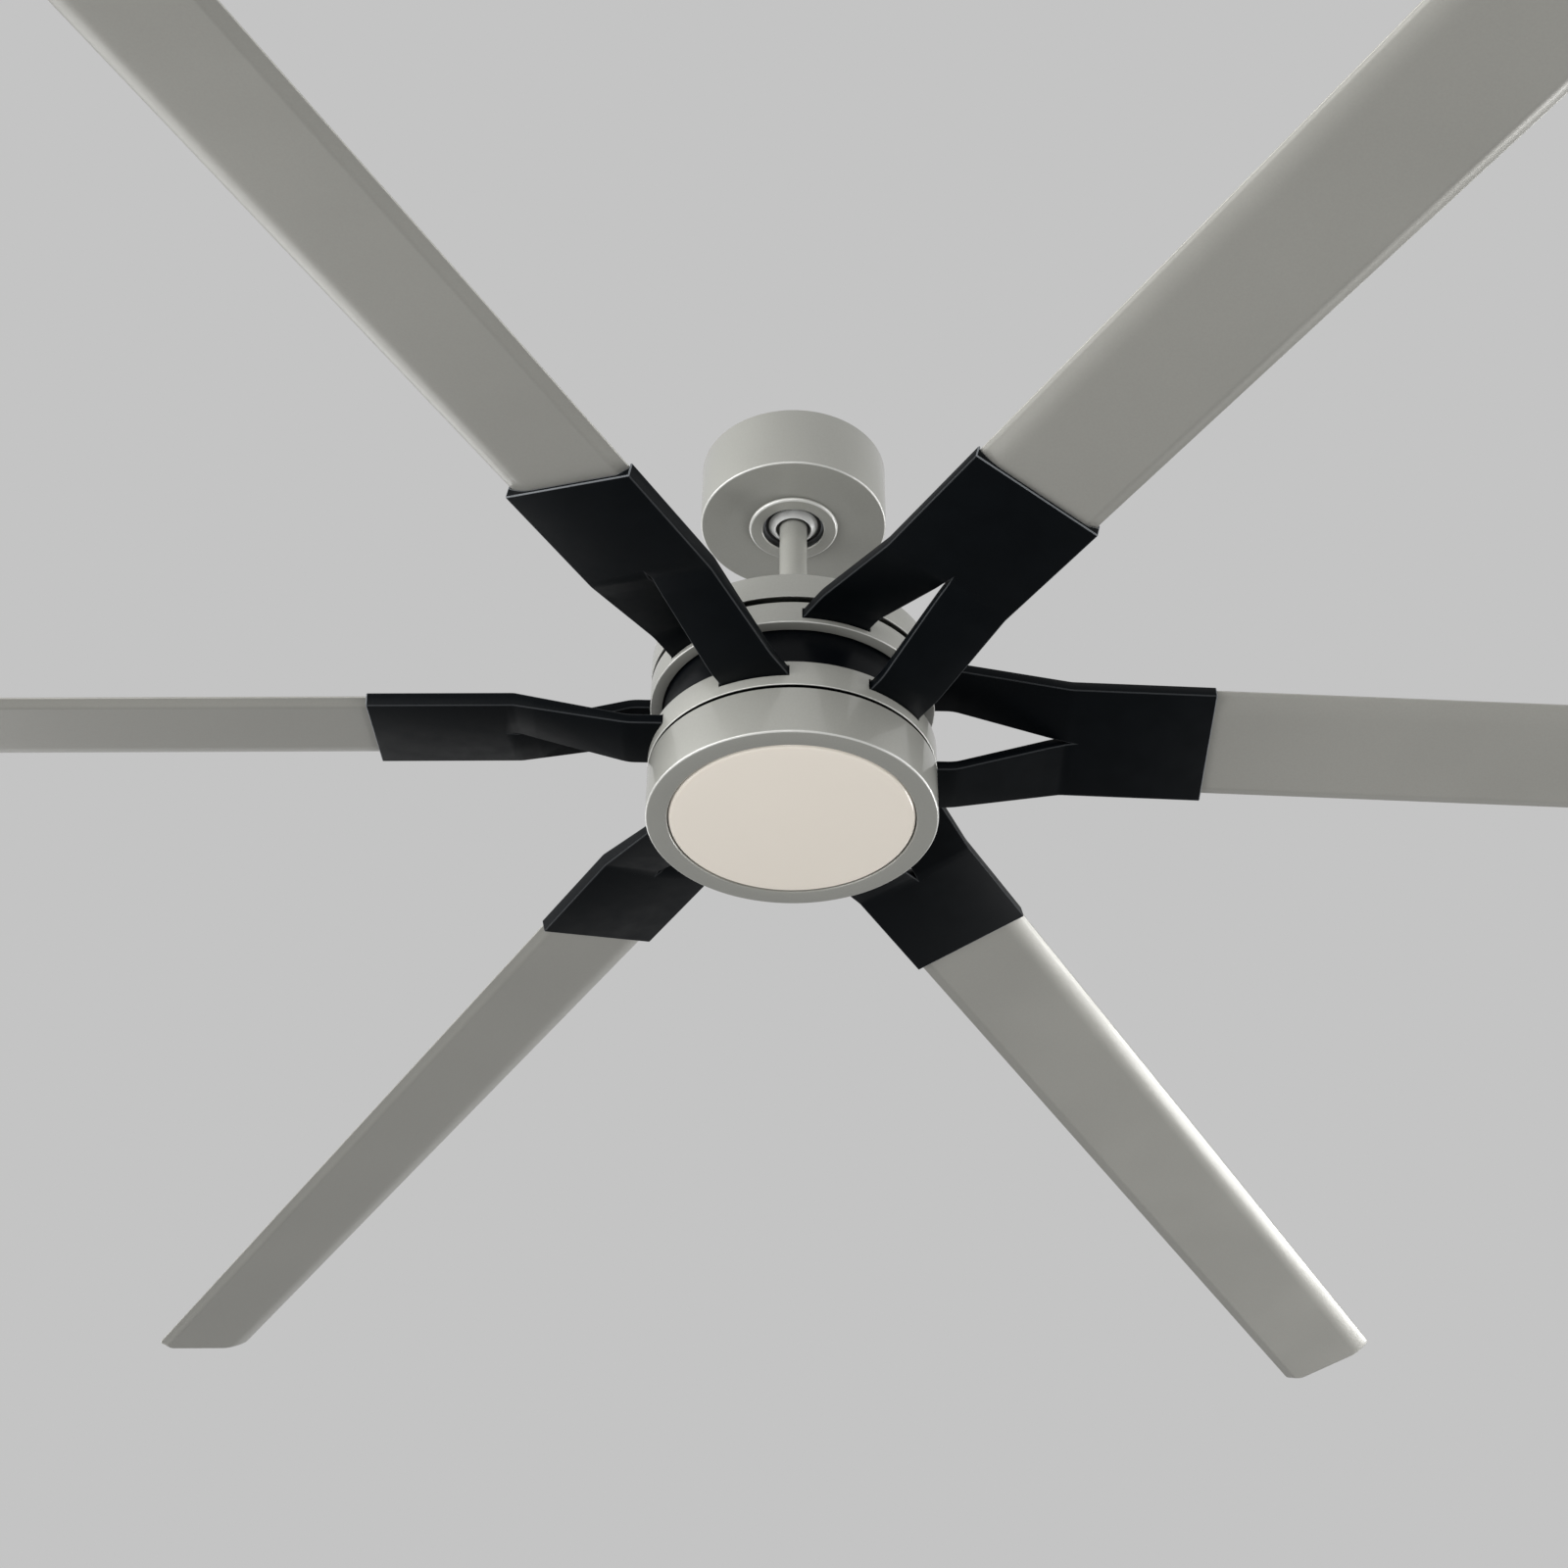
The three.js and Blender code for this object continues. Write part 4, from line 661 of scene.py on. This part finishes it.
# The hanging side
class FAN_OT_ball_hanger(Operator):
    """Turns the ball, its liner, the downrod and the coupling cover"""

    bl_idname = "fan.ball_hanger"
    bl_label = "Ball hanger and downrod"

    def execute(self, context):
        size = sizes()
        swivel = next(j for j in frame["joints"] if j["name"] == "hanger_tilt_x")
        centre = swivel["pos_m"][2] / MM
        rod_radius = reach("downrod")
        rod = tube("downrod_tube", rod_radius - size.rod_wall, rod_radius, *span("downrod"), 72)
        ball_pin, coupler_pin = (sum(span(pin)) / 2 for pin in ("ball_pin", "coupler_pin"))
        cutters = [pin_cutter(size.pin_bore, rod_radius + 2, z) for z in (ball_pin, coupler_pin)]
        combined(rod, cutters, "DIFFERENCE")
        silvered(rod, "drop", "downrod")

        radius, mouth, hollow = size.ball_radius, size.ball_mouth, size.ball_hollow
        middle = centre - size.ball_drop
        top = span("hanger_ball")[1]
        top_angle = math.degrees(math.asin((top - middle) / radius))
        mouth_angle = -math.degrees(math.acos(mouth / radius))
        mouth_level = middle - math.sqrt(radius**2 - mouth**2)
        hole = rod_radius + size.gap
        outline = [
            (hole, top), *arc(0, middle, radius, top_angle, mouth_angle, 36),
            (mouth - 0.6, mouth_level + 0.5), (mouth - 0.6, mouth_level + size.ball_lip),
            (hollow, mouth_level + 3 * size.ball_lip), (hollow, mouth_level + hollow),
            (hole, mouth_level + hollow),
        ]
        ball = turned("ball_body", outline, 96)
        combined(ball, [pin_cutter(size.pin_bore, radius + 2, ball_pin)], "DIFFERENCE")
        dressed(ball, "white_nylon", "drop", "white_nylon", "hanger_ball")

        low, high = span("ball_liner")
        inner = reach("hanger_ball") + size.gap
        outer = inner + size.liner_wall

        def level(radius, z):
            return math.degrees(math.asin((z - centre) / radius))

        outline = [
            *arc(0, centre, inner, level(inner, low), level(inner, high), 12),
            *arc(0, centre, outer, level(outer, high), level(outer, low), 12),
        ]
        liner = turned("liner_shell", outline, 96)
        dressed(liner, "black_nylon", "socket_liner", "black_nylon", "ball_liner")

        low, high = span("coupling_cover")
        radius, shoulder, sheet = reach("coupling_cover"), size.dome_round, size.dome_wall
        flat = radius - shoulder
        outline = [
            (radius, low), *arc(flat, high - shoulder, shoulder, 0, 90, 16), (hole, high),
            (hole, high - sheet), *arc(flat, high - shoulder, shoulder - sheet, 90, 0, 16),
            (radius - sheet, low),
        ]
        silvered(turned("coupling_cover_shell", outline, 96), "drop", "coupling_cover")
        painted("steel", "ball_pin", "coupler_pin")
        painted("cast", "coupler")
        painted("wiring", "inner_wiring")
        return {"FINISHED"}


def tab_levels():
    """The undersides of a bracket's lower and upper tabs."""
    low, high = span("blade_bracket_1")
    return low, high - sizes().tab_thick


def slotted(ring, side, tab_bottom):
    """Cuts the slots for the brackets' tabs into a cover ring, on one side of each blade's middle."""
    size = sizes()
    play = size.slot_play
    half = size.tray_width / 2 * math.cos(size.pitch)
    ys = sorted([side * (size.arm_slit - size.slot_notch), side * (half + play)])
    levels = (tab_bottom - play, tab_bottom + size.tab_thick + play)
    for k in range(BLADES):
        cutter = box_cutter((size.tab_end, reach("upper_ring") + 4), ys, levels)
        cutter.data.transform(Matrix.Rotation(math.tau * k / BLADES, 4, "Z"))
        combined(ring, [cutter], "DIFFERENCE")
    return ring


class FAN_OT_hub_covers(Operator):
    """Turns the cap, the two slotted cover rings and the drum between them"""

    bl_idname = "fan.hub_covers"
    bl_label = "Hub covers and drum"

    def execute(self, context):
        size = sizes()
        crisp, wall, lip = size.crisp_edge, size.cover_wall, size.ring_lip
        radius = reach("upper_cap")
        low, high = span("upper_cap")
        corners = cup(radius, size.cap_hole, low, high, wall, wall, wall, size.cap_edge)
        silvered(turned("cap_shell", filleted(corners)), "drop", "upper_cap")

        lower_tab, upper_tab = tab_levels()
        inner = radius - size.lip_reach
        low, high = span("upper_ring")
        corners = cup(radius, inner, high, low, wall, lip, 1.0, size.ring_edge)
        ring = slotted(turned("upper_ring_shell", filleted(corners)), -1, upper_tab)
        silvered(ring, "rotor", "upper_ring")

        low, high = span("lower_ring")
        foot = low + size.foot_rise
        corners = [
            (radius, high, size.ring_edge), (inner, high, crisp), (inner, high - lip, crisp),
            (radius - wall, high - lip, 1.0), (radius - wall, low + size.foot_taper, crisp),
            (radius - size.foot_wall, foot, 0.1), (radius, foot, 0.7),
        ]
        ring = slotted(turned("lower_ring_shell", filleted(corners)), 1, lower_tab)
        silvered(ring, "rotor", "lower_ring")

        outer = reach("drum")
        drum = tube("drum_shell", outer - size.drum_wall, outer, *span("drum"))
        dressed(drum, "drum", "rotor", "black_drum", "drum")
        return {"FINISHED"}


class FAN_OT_motor_core(Operator):
    """Finishes the motor's inner pieces"""

    bl_idname = "fan.motor_core"
    bl_label = "Motor core"

    def execute(self, context):
        # Black like the drum, and partly painted shade for what shows through the gaps between the covers.
        painted("drum", "rotor_upper_plate", "rotor_lower_plate")
        painted("cast", "stator_hub")
        painted("steel", "motor_shaft", "upper_bearing", "lower_bearing", "shaft_nut")
        # The black on the clamp ring and screws is partly painted shade for the gap under the cap.
        painted("black_zinc", "clamp_ring", *(f"bracket_screw_{i + 1}" for i in range(BLADES)))
        painted("magnet", "magnet_ring")
        painted("lamination", "stator_core")
        painted("copper", "stator_windings")
        painted("board", "driver_board")
        return {"FINISHED"}


class FAN_OT_light(Operator):
    """Turns the light's housing and its opal lens"""

    bl_idname = "fan.light"
    bl_label = "Light and lens"

    def execute(self, context):
        size = sizes()
        crisp, wall = size.crisp_edge, size.cover_wall
        radius, lens_radius = reach("light_ring"), reach("lens")
        low, high = span("light_ring")
        hole = lens_radius + size.lens_gap
        collar_top = low + size.hole_collar
        corners = [
            (size.shaft_hole, high, 0.2), (radius, high, crisp), (radius, low, size.light_edge),
            (hole, low, size.hole_edge), (hole, collar_top, crisp),
            (hole + wall, collar_top, crisp), (hole + wall, low + wall, 0.9),
            (radius - wall, low + wall, size.light_edge - wall), (radius - wall, high - wall, 1.0),
            (size.shaft_hole, high - wall, 0.2),
        ]
        silvered(turned("light_housing", filleted(corners)), "drop", "light_ring")

        lens_low, lens_high = span("lens")
        crown = low - lens_low
        edge, sheet = size.lens_edge, size.lens_wall
        flat = lens_radius - edge

        def dome(level):
            """The lens's face from its rim to the axis, bulging down by its crown."""
            shares = [k / 12 for k in range(13)]
            return [(flat * (1 - s), level - crown * (1 - (1 - s) ** 2)) for s in shares]

        outline = [
            (lens_radius, lens_high), *arc(flat, low + edge, edge, 360, 270, 8), *dome(low)[1:],
            *reversed(dome(low + sheet)), (lens_radius - sheet, low + sheet + 0.6),
            (lens_radius - sheet, lens_high),
        ]
        lens = turned("lens_shell", outline)
        dressed(lens, "opal", "light_lens", "opal_plastic", "lens")
        painted("white_enamel", "light_pan")
        painted("white_board", "led_board")
        painted("receiver", "led_driver")
        return {"FINISHED"}


# Blades and brackets
def blade_frame():
    """From the blade's own frame to the fan's: X along the blade, Y towards its low edge."""
    size = sizes()
    rise = (sum(tab_levels()) / 2 + size.plane_rise) * MM
    droop = Matrix.Rotation(size.droop, 4, "Y")
    pitch = Matrix.Rotation(-size.pitch, 4, "X")
    return Matrix.Translation((0, 0, rise)) @ droop @ pitch


def blade_half():
    return sizes().tray_width / 2 - sizes().blade_inset


def softened(t, half):
    """A ramp that starts at zero, with its corner rounded over twice half."""
    if t <= -half:
        return 0.0
    if t >= half:
        return t
    return (t + half) ** 2 / (4 * half)


def underside(y):
    """Height of the blade's underside above the tray's floor plane, across its width."""
    size = sizes()
    half = blade_half()
    fold = softened(y - (half - size.trail_fold), size.fold_round)
    curl = max(0.0, -y - (half - size.lead_curl)) / size.lead_curl
    lift = size.trail_rise * fold / size.trail_fold + size.lead_rise * curl**2
    return size.tray_floor + size.gap + lift


def topside(y):
    """Height of the blade's crowned upper side, across its width."""
    size = sizes()
    across = (y / blade_half() + 1) / 2
    base = size.tray_floor + size.gap
    lead = base + size.lead_rise + size.edge_thick
    trail = base + size.trail_rise + size.edge_thick
    crown = base + size.blade_thick - (lead + trail) / 2
    return lead + (trail - lead) * across + crown * (1 - (2 * across - 1) ** 2)


def across_stations():
    """Places across the blade, closer together where its underside bends."""
    size = sizes()
    half = blade_half()
    near_fold = 3.0
    curl = [-half + size.lead_curl * k / 12 for k in range(13)]
    start = half - size.trail_fold - near_fold
    middle = [curl[-1] + (start - curl[-1]) * k / 6 for k in range(1, 6)]
    fold = [start + 2 * near_fold * k / 10 for k in range(11)]
    return [*curl, *middle, *fold, half]


class FAN_OT_blades(Operator):
    """Lofts one blade and repeats it round the axis"""

    bl_idname = "fan.blades"
    bl_label = "Blades"

    def execute(self, context):
        size = sizes()
        half = blade_half()
        ease = size.edge_thick / 2
        inner = [y for y in across_stations() if abs(y) < half - ease]
        low_middle, high_middle = ((underside(y) + topside(y)) / 2 for y in (half, -half))
        section = [
            *((y, underside(y)) for y in inner), *arc(half - ease, low_middle, ease, -90, 90, 6),
            *((y, topside(y)) for y in reversed(inner)),
            *arc(-half + ease, high_middle, ease, 90, 270, 6),
        ]
        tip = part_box("blade_1")[1].x / MM
        root = size.tray_start + size.tray_root + size.gap
        corner = size.tip_corner
        sections = []
        for x in [root, *(tip - corner + corner * math.sin(math.radians(a)) for a in range(0, 91, 10))]:
            into = max(0.0, x - (tip - corner))
            narrowed = corner - math.sqrt(max(0.0, corner**2 - into**2))
            scale = (half - narrowed) / half
            sections.append([Vector((x, y * scale, z)) * MM for y, z in section])
        blade = object_from("one_blade", lambda bm: skin(bm, sections))
        blade.data.transform(blade_frame())
        dressed_round(blade, "fan_blades", "blade", "blade_silver", "blade")
        return {"FINISHED"}


def rounded_path(points, ease, steps=4):
    """A path through points whose inner corners are rounded."""
    path = [points[0]]
    for before, here, after in zip(points, points[1:], points[2:]):
        start = here + (before - here).normalized() * min(ease, (before - here).length * 0.45)
        end = here + (after - here).normalized() * min(ease, (after - here).length * 0.45)
        for k in range(steps + 1):
            t = k / steps
            path.append(start.lerp(here, t).lerp(here.lerp(end, t), t))
    path.append(points[-1])
    return path


def bracket_half(bm, side):
    """One half of a bracket: its arm, and its half of the tray."""
    size = sizes()
    place = blade_frame()
    half, wall = size.tray_width / 2, size.tray_wall
    pocket = blade_half() + size.gap
    level_half = half * math.cos(size.pitch)
    tab_bottom = tab_levels()[0 if side > 0 else 1]
    stations = {abs(y) for y in across_stations() if y * side > 0}
    stations = sorted((s for s in stations if s < pocket - 0.5), reverse=True)
    top_shares = [pocket / half, pocket / half, *(s / half for s in stations)]

    def solid(x, inner, outer, bottom, top):
        over = [(inner + (outer - inner) * share, top) for share in top_shares]
        row = [(inner, bottom), (outer, bottom), (outer, top), *over, (inner, top)]
        return [Vector((x, side * y, z)) * MM for y, z in row]

    def pitched(x, inner):
        return [place @ point for point in solid(x, inner, half, 0, wall)]

    def tray(x):
        seat = [(s, min(underside(side * s) - size.gap, wall)) for s in (pocket, *stations)]
        row = [(0, 0), (half, 0), (half, wall), (pocket, wall), *seat, (0, size.tray_floor)]
        return [place @ (Vector((x, side * y, z)) * MM) for y, z in row]

    def level(x, inner):
        return solid(x, inner, level_half, tab_bottom, tab_bottom + size.tab_thick)

    def along_arm(share, inner):
        ends = zip(level(size.arm_bend, inner), pitched(size.tray_start, inner))
        return [a.lerp(b, share) for a, b in ends]

    root = size.tray_start + size.tray_root
    slit, eye = size.arm_slit, size.slit_end
    keys = [
        level(size.tab_end, slit), along_arm(0, slit), along_arm(0.87, slit), along_arm(0.95, eye),
        along_arm(1, eye), pitched(size.tray_start + size.slit_past, 0),
    ]
    paths = [rounded_path(points, size.arm_round * MM) for points in zip(*keys)]
    arm = [list(points) for points in zip(*paths)]
    # Past the arm the two halves meet, so there is no side between them.
    skin(bm, [*arm, pitched(root, 0), tray(root), tray(size.tray_end)], open_from=len(arm) - 1)


class FAN_OT_brackets(Operator):
    """Lofts one forked bracket and repeats it round the axis"""

    bl_idname = "fan.brackets"
    bl_label = "Blade brackets"

    def execute(self, context):
        halves = object_from("one_bracket", lambda bm: [bracket_half(bm, side) for side in (1, -1)])
        # The bracket's rounded edges get a lighter colour: a painted highlight, partly a thinner coat.
        bracket = eased(halves, 0.8, 2, 30, sizes().tray_end - 2)
        dressed_round(bracket, "fan_brackets", "black", "black_casting", "blade_bracket", 50)
        return {"FINISHED"}


def screw_head(base):
    """A pan head with a cross recess, standing on a level."""
    radius, height = sizes().screw_radius, sizes().screw_height
    rim, recess_floor, recess_end, recess_half = 0.35 * height, 0.45 * height, 0.6 * radius, 0.45
    steps = [math.radians(a) for a in range(10, 90, 10)]
    pan = [(radius * math.cos(a), base + rim + (height - rim) * math.sin(a)) for a in steps]
    outline = [(0, base), (radius, base), (radius, base + rim), *pan, (0, base + height)]
    head = turned("clamp_screw", outline, 40)
    long, short = (-recess_end, recess_end), (-recess_half, recess_half)
    levels = (base + recess_floor, base + height + 1)
    cross = [box_cutter(long, short, levels), box_cutter(short, long, levels)]
    return combined(head, cross, "DIFFERENCE")


class FAN_OT_blade_clamps(Operator):
    """Makes the plates and screws that clamp the blades' roots"""

    bl_idname = "fan.blade_clamps"
    bl_label = "Blade clamps"

    def execute(self, context):
        size = sizes()
        root = size.tray_start + size.tray_root + size.gap
        middle = (root + size.tray_end) / 2
        foot = size.tray_floor + size.gap + size.blade_thick + size.gap
        top = foot + size.clamp_thick
        long, wide = size.clamp_length / 2, size.clamp_width / 2
        corners = rectangle(middle - long, middle + long, -wide, wide, size.clamp_corner)
        plate = eased(prism("clamp_plate", filleted(corners, 8), foot, top), 0.4, 2, 40)
        screw = screw_head(top - 0.1)
        screw.data.transform(Matrix.Translation((middle * MM, 0, 0)))
        spacing = size.screw_spacing * MM
        row = repeating_tree("in_a_row", in_a_row, Spacing=("Float", spacing))
        repeated(screw, row, Count=2, Spacing=spacing, Finish=material_for("zinc"))
        combined(plate, [screw], "UNION")
        plate.data.transform(blade_frame())
        dressed_round(plate, "fan_blade_clamps", "zinc", "zinc_steel", "blade_clamp")
        return {"FINISHED"}


# Stage
HUB = (0, 0, -0.3)
# Name, place and aim in metres, watts, and width and height in metres.
LAMPS = [
    ("left", (-4.0, -0.6, -0.3), HUB, 136, 3.2, 3.2),
    ("low_front_left", (-3.2, -2.4, -1.6), HUB, 80, 2.6, 2.6),
    ("front_strip", (-0.8, -4.2, -0.6), HUB, 76, 5.0, 1.2),
    ("below", (-0.4, -3.4, -3.6), HUB, 10, 0.6, 0.6),
    ("under_right", (2.8, -0.2, -3.6), (0.6, 0, -0.3), 6, 1.2, 1.2),
    ("under_left", (-3.1, 1.75, -3.6), (-0.6, 0, -0.3), 6, 1.0, 1.0),
    ("right", (4.0, 0.0, -0.5), HUB, 102, 3.4, 3.4),
    ("low_back_right", (3.3, 2.4, -1.7), HUB, 62, 1.4, 1.4),
    ("back_left", (-2.9, 4.0, -0.2), HUB, 22, 2.0, 2.0),
]
FILL_LIGHT = 0.41
FLOOR_GLOW = 0.13
FLOOR_RADIUS, FLOOR_LEVEL, FLOOR_THICKNESS = 40000, -6600, 10
CAMERA_LENS, CAMERA_PLACE = 57.07, (-0.0302, -1.4646, -1.4103)
CAMERA_PITCH, CAMERA_YAW, CAMERA_ROLL = (math.radians(angle) for angle in (36.82, 0.95, 0.45))


def add_lamp(name, place, aim, watts, width, height):
    """A lamp that looks at a point and can't be seen itself."""
    lamp = bpy.data.lights.new(name, "AREA")
    lamp.energy = watts
    lamp.shape = "RECTANGLE"
    lamp.size = width
    lamp.size_y = height
    thing = bpy.data.objects.new(name, lamp)
    thing.location = place
    thing.rotation_euler = (Vector(aim) - Vector(place)).to_track_quat("-Z", "Y").to_euler()
    thing.visible_camera = False
    bpy.context.scene.collection.objects.link(thing)


def add_world(scene):
    """Even fill light, seen as the pale backdrop by the camera and in reflections and clear pieces."""
    world = bpy.data.worlds.new("studio")
    scene.world = world
    world.use_nodes = True
    tree = world.node_tree
    tree.nodes.clear()
    path = add_node(tree, "ShaderNodeLightPath").outputs
    seen = path["Is Camera Ray"]
    for kind in ("Is Glossy Ray", "Is Transmission Ray"):
        seen = add_node(tree, "ShaderNodeMath", {0: seen, 1: path[kind]}, operation="MAXIMUM").outputs[0]
    fill = add_node(tree, "ShaderNodeBackground", {"Color": (1, 1, 1, 1), "Strength": FILL_LIGHT})
    shown = add_node(tree, "ShaderNodeBackground", {"Color": [*colours().backdrop, 1], "Strength": 1.0})
    mixed = add_node(tree, "ShaderNodeMixShader", {0: seen, 1: fill.outputs[0], 2: shown.outputs[0]})
    add_node(tree, "ShaderNodeOutputWorld", {"Surface": mixed.outputs[0]})


def pale_floor():
    """Matte pale floor: bright to the camera, and a plain grey for the light that it throws back."""
    shown = colours().floor
    material, tree, shader = finish("pale_floor", shown, 0.0, 0.9, Emission_Color=(1, 1, 1, 1))
    mottled(tree, shader, shown, 400, 0.01)
    seen = add_node(tree, "ShaderNodeLightPath").outputs["Is Camera Ray"]
    pale = shader.inputs["Base Color"].links[0].from_socket
    sockets = {0: seen, 6: [*colours().backdrop, 1], 7: pale}
    colour = add_node(tree, "ShaderNodeMix", sockets, data_type="RGBA")
    tree.links.new(colour.outputs[2], shader.inputs["Base Color"])
    glow = add_node(tree, "ShaderNodeMath", {0: seen, 1: FLOOR_GLOW}, operation="MULTIPLY")
    tree.links.new(glow.outputs[0], shader.inputs["Emission Strength"])
    return material


class FAN_OT_stage(Operator):
    """Sets the camera, the floor, the backdrop and the lamps"""

    bl_idname = "fan.stage"
    bl_label = "Stage"

    def execute(self, context):
        scene = context.scene
        scene.view_settings.view_transform = "Standard"
        add_world(scene)
        bottom, top = FLOOR_LEVEL, FLOOR_LEVEL + FLOOR_THICKNESS
        rim = [(FLOOR_RADIUS, bottom), (FLOOR_RADIUS, top), (0, top), (0, bottom)]
        floor = turned("floor", rim, 96)
        floor.data.materials.append(pale_floor())
        for lamp in LAMPS:
            add_lamp(*lamp)
        camera = bpy.data.cameras.new("camera")
        camera.sensor_width = 36
        camera.lens = CAMERA_LENS
        camera.clip_end = 60
        thing = bpy.data.objects.new("camera", camera)
        scene.collection.objects.link(thing)
        heading = Matrix.Rotation(-CAMERA_YAW, 4, "Z")
        tilt = Matrix.Rotation(math.pi / 2 + CAMERA_PITCH, 4, "X")
        roll = Matrix.Rotation(CAMERA_ROLL, 4, "Z")
        thing.matrix_world = Matrix.Translation(CAMERA_PLACE) @ heading @ tilt @ roll
        scene.camera = thing
        return {"FINISHED"}


STEPS = [
    FAN_OT_canopy, FAN_OT_ceiling_bracket, FAN_OT_ball_hanger, FAN_OT_hub_covers, FAN_OT_motor_core,
    FAN_OT_light, FAN_OT_blades, FAN_OT_brackets, FAN_OT_blade_clamps, FAN_OT_stage,
]


class FAN_PT_panel(Panel):
    """Lists the fan's pieces in the sidebar"""

    bl_label = "Ceiling Fan"
    bl_idname = "FAN_PT_panel"
    bl_space_type = "VIEW_3D"
    bl_region_type = "UI"
    bl_category = "Ceiling Fan"

    def draw(self, context):
        for step in STEPS:
            self.layout.operator(step.bl_idname)
        scene = context.scene
        for kind, group in ((FanSizes, scene.fan_sizes), (FanColours, scene.fan_colours)):
            for key in kind.__annotations__:
                self.layout.prop(group, key)


CLASSES = [FanSizes, FanColours, *STEPS, FAN_PT_panel]


def register():
    for cls in CLASSES:
        bpy.utils.register_class(cls)
    bpy.types.Scene.fan_sizes = PointerProperty(type=FanSizes)
    bpy.types.Scene.fan_colours = PointerProperty(type=FanColours)


def unregister():
    del bpy.types.Scene.fan_colours
    del bpy.types.Scene.fan_sizes
    for cls in reversed(CLASSES):
        bpy.utils.unregister_class(cls)


def main():
    register()
    for step in STEPS:
        group, name = step.bl_idname.split(".")
        getattr(getattr(bpy.ops, group), name)()


if __name__ == "__main__":
    main()
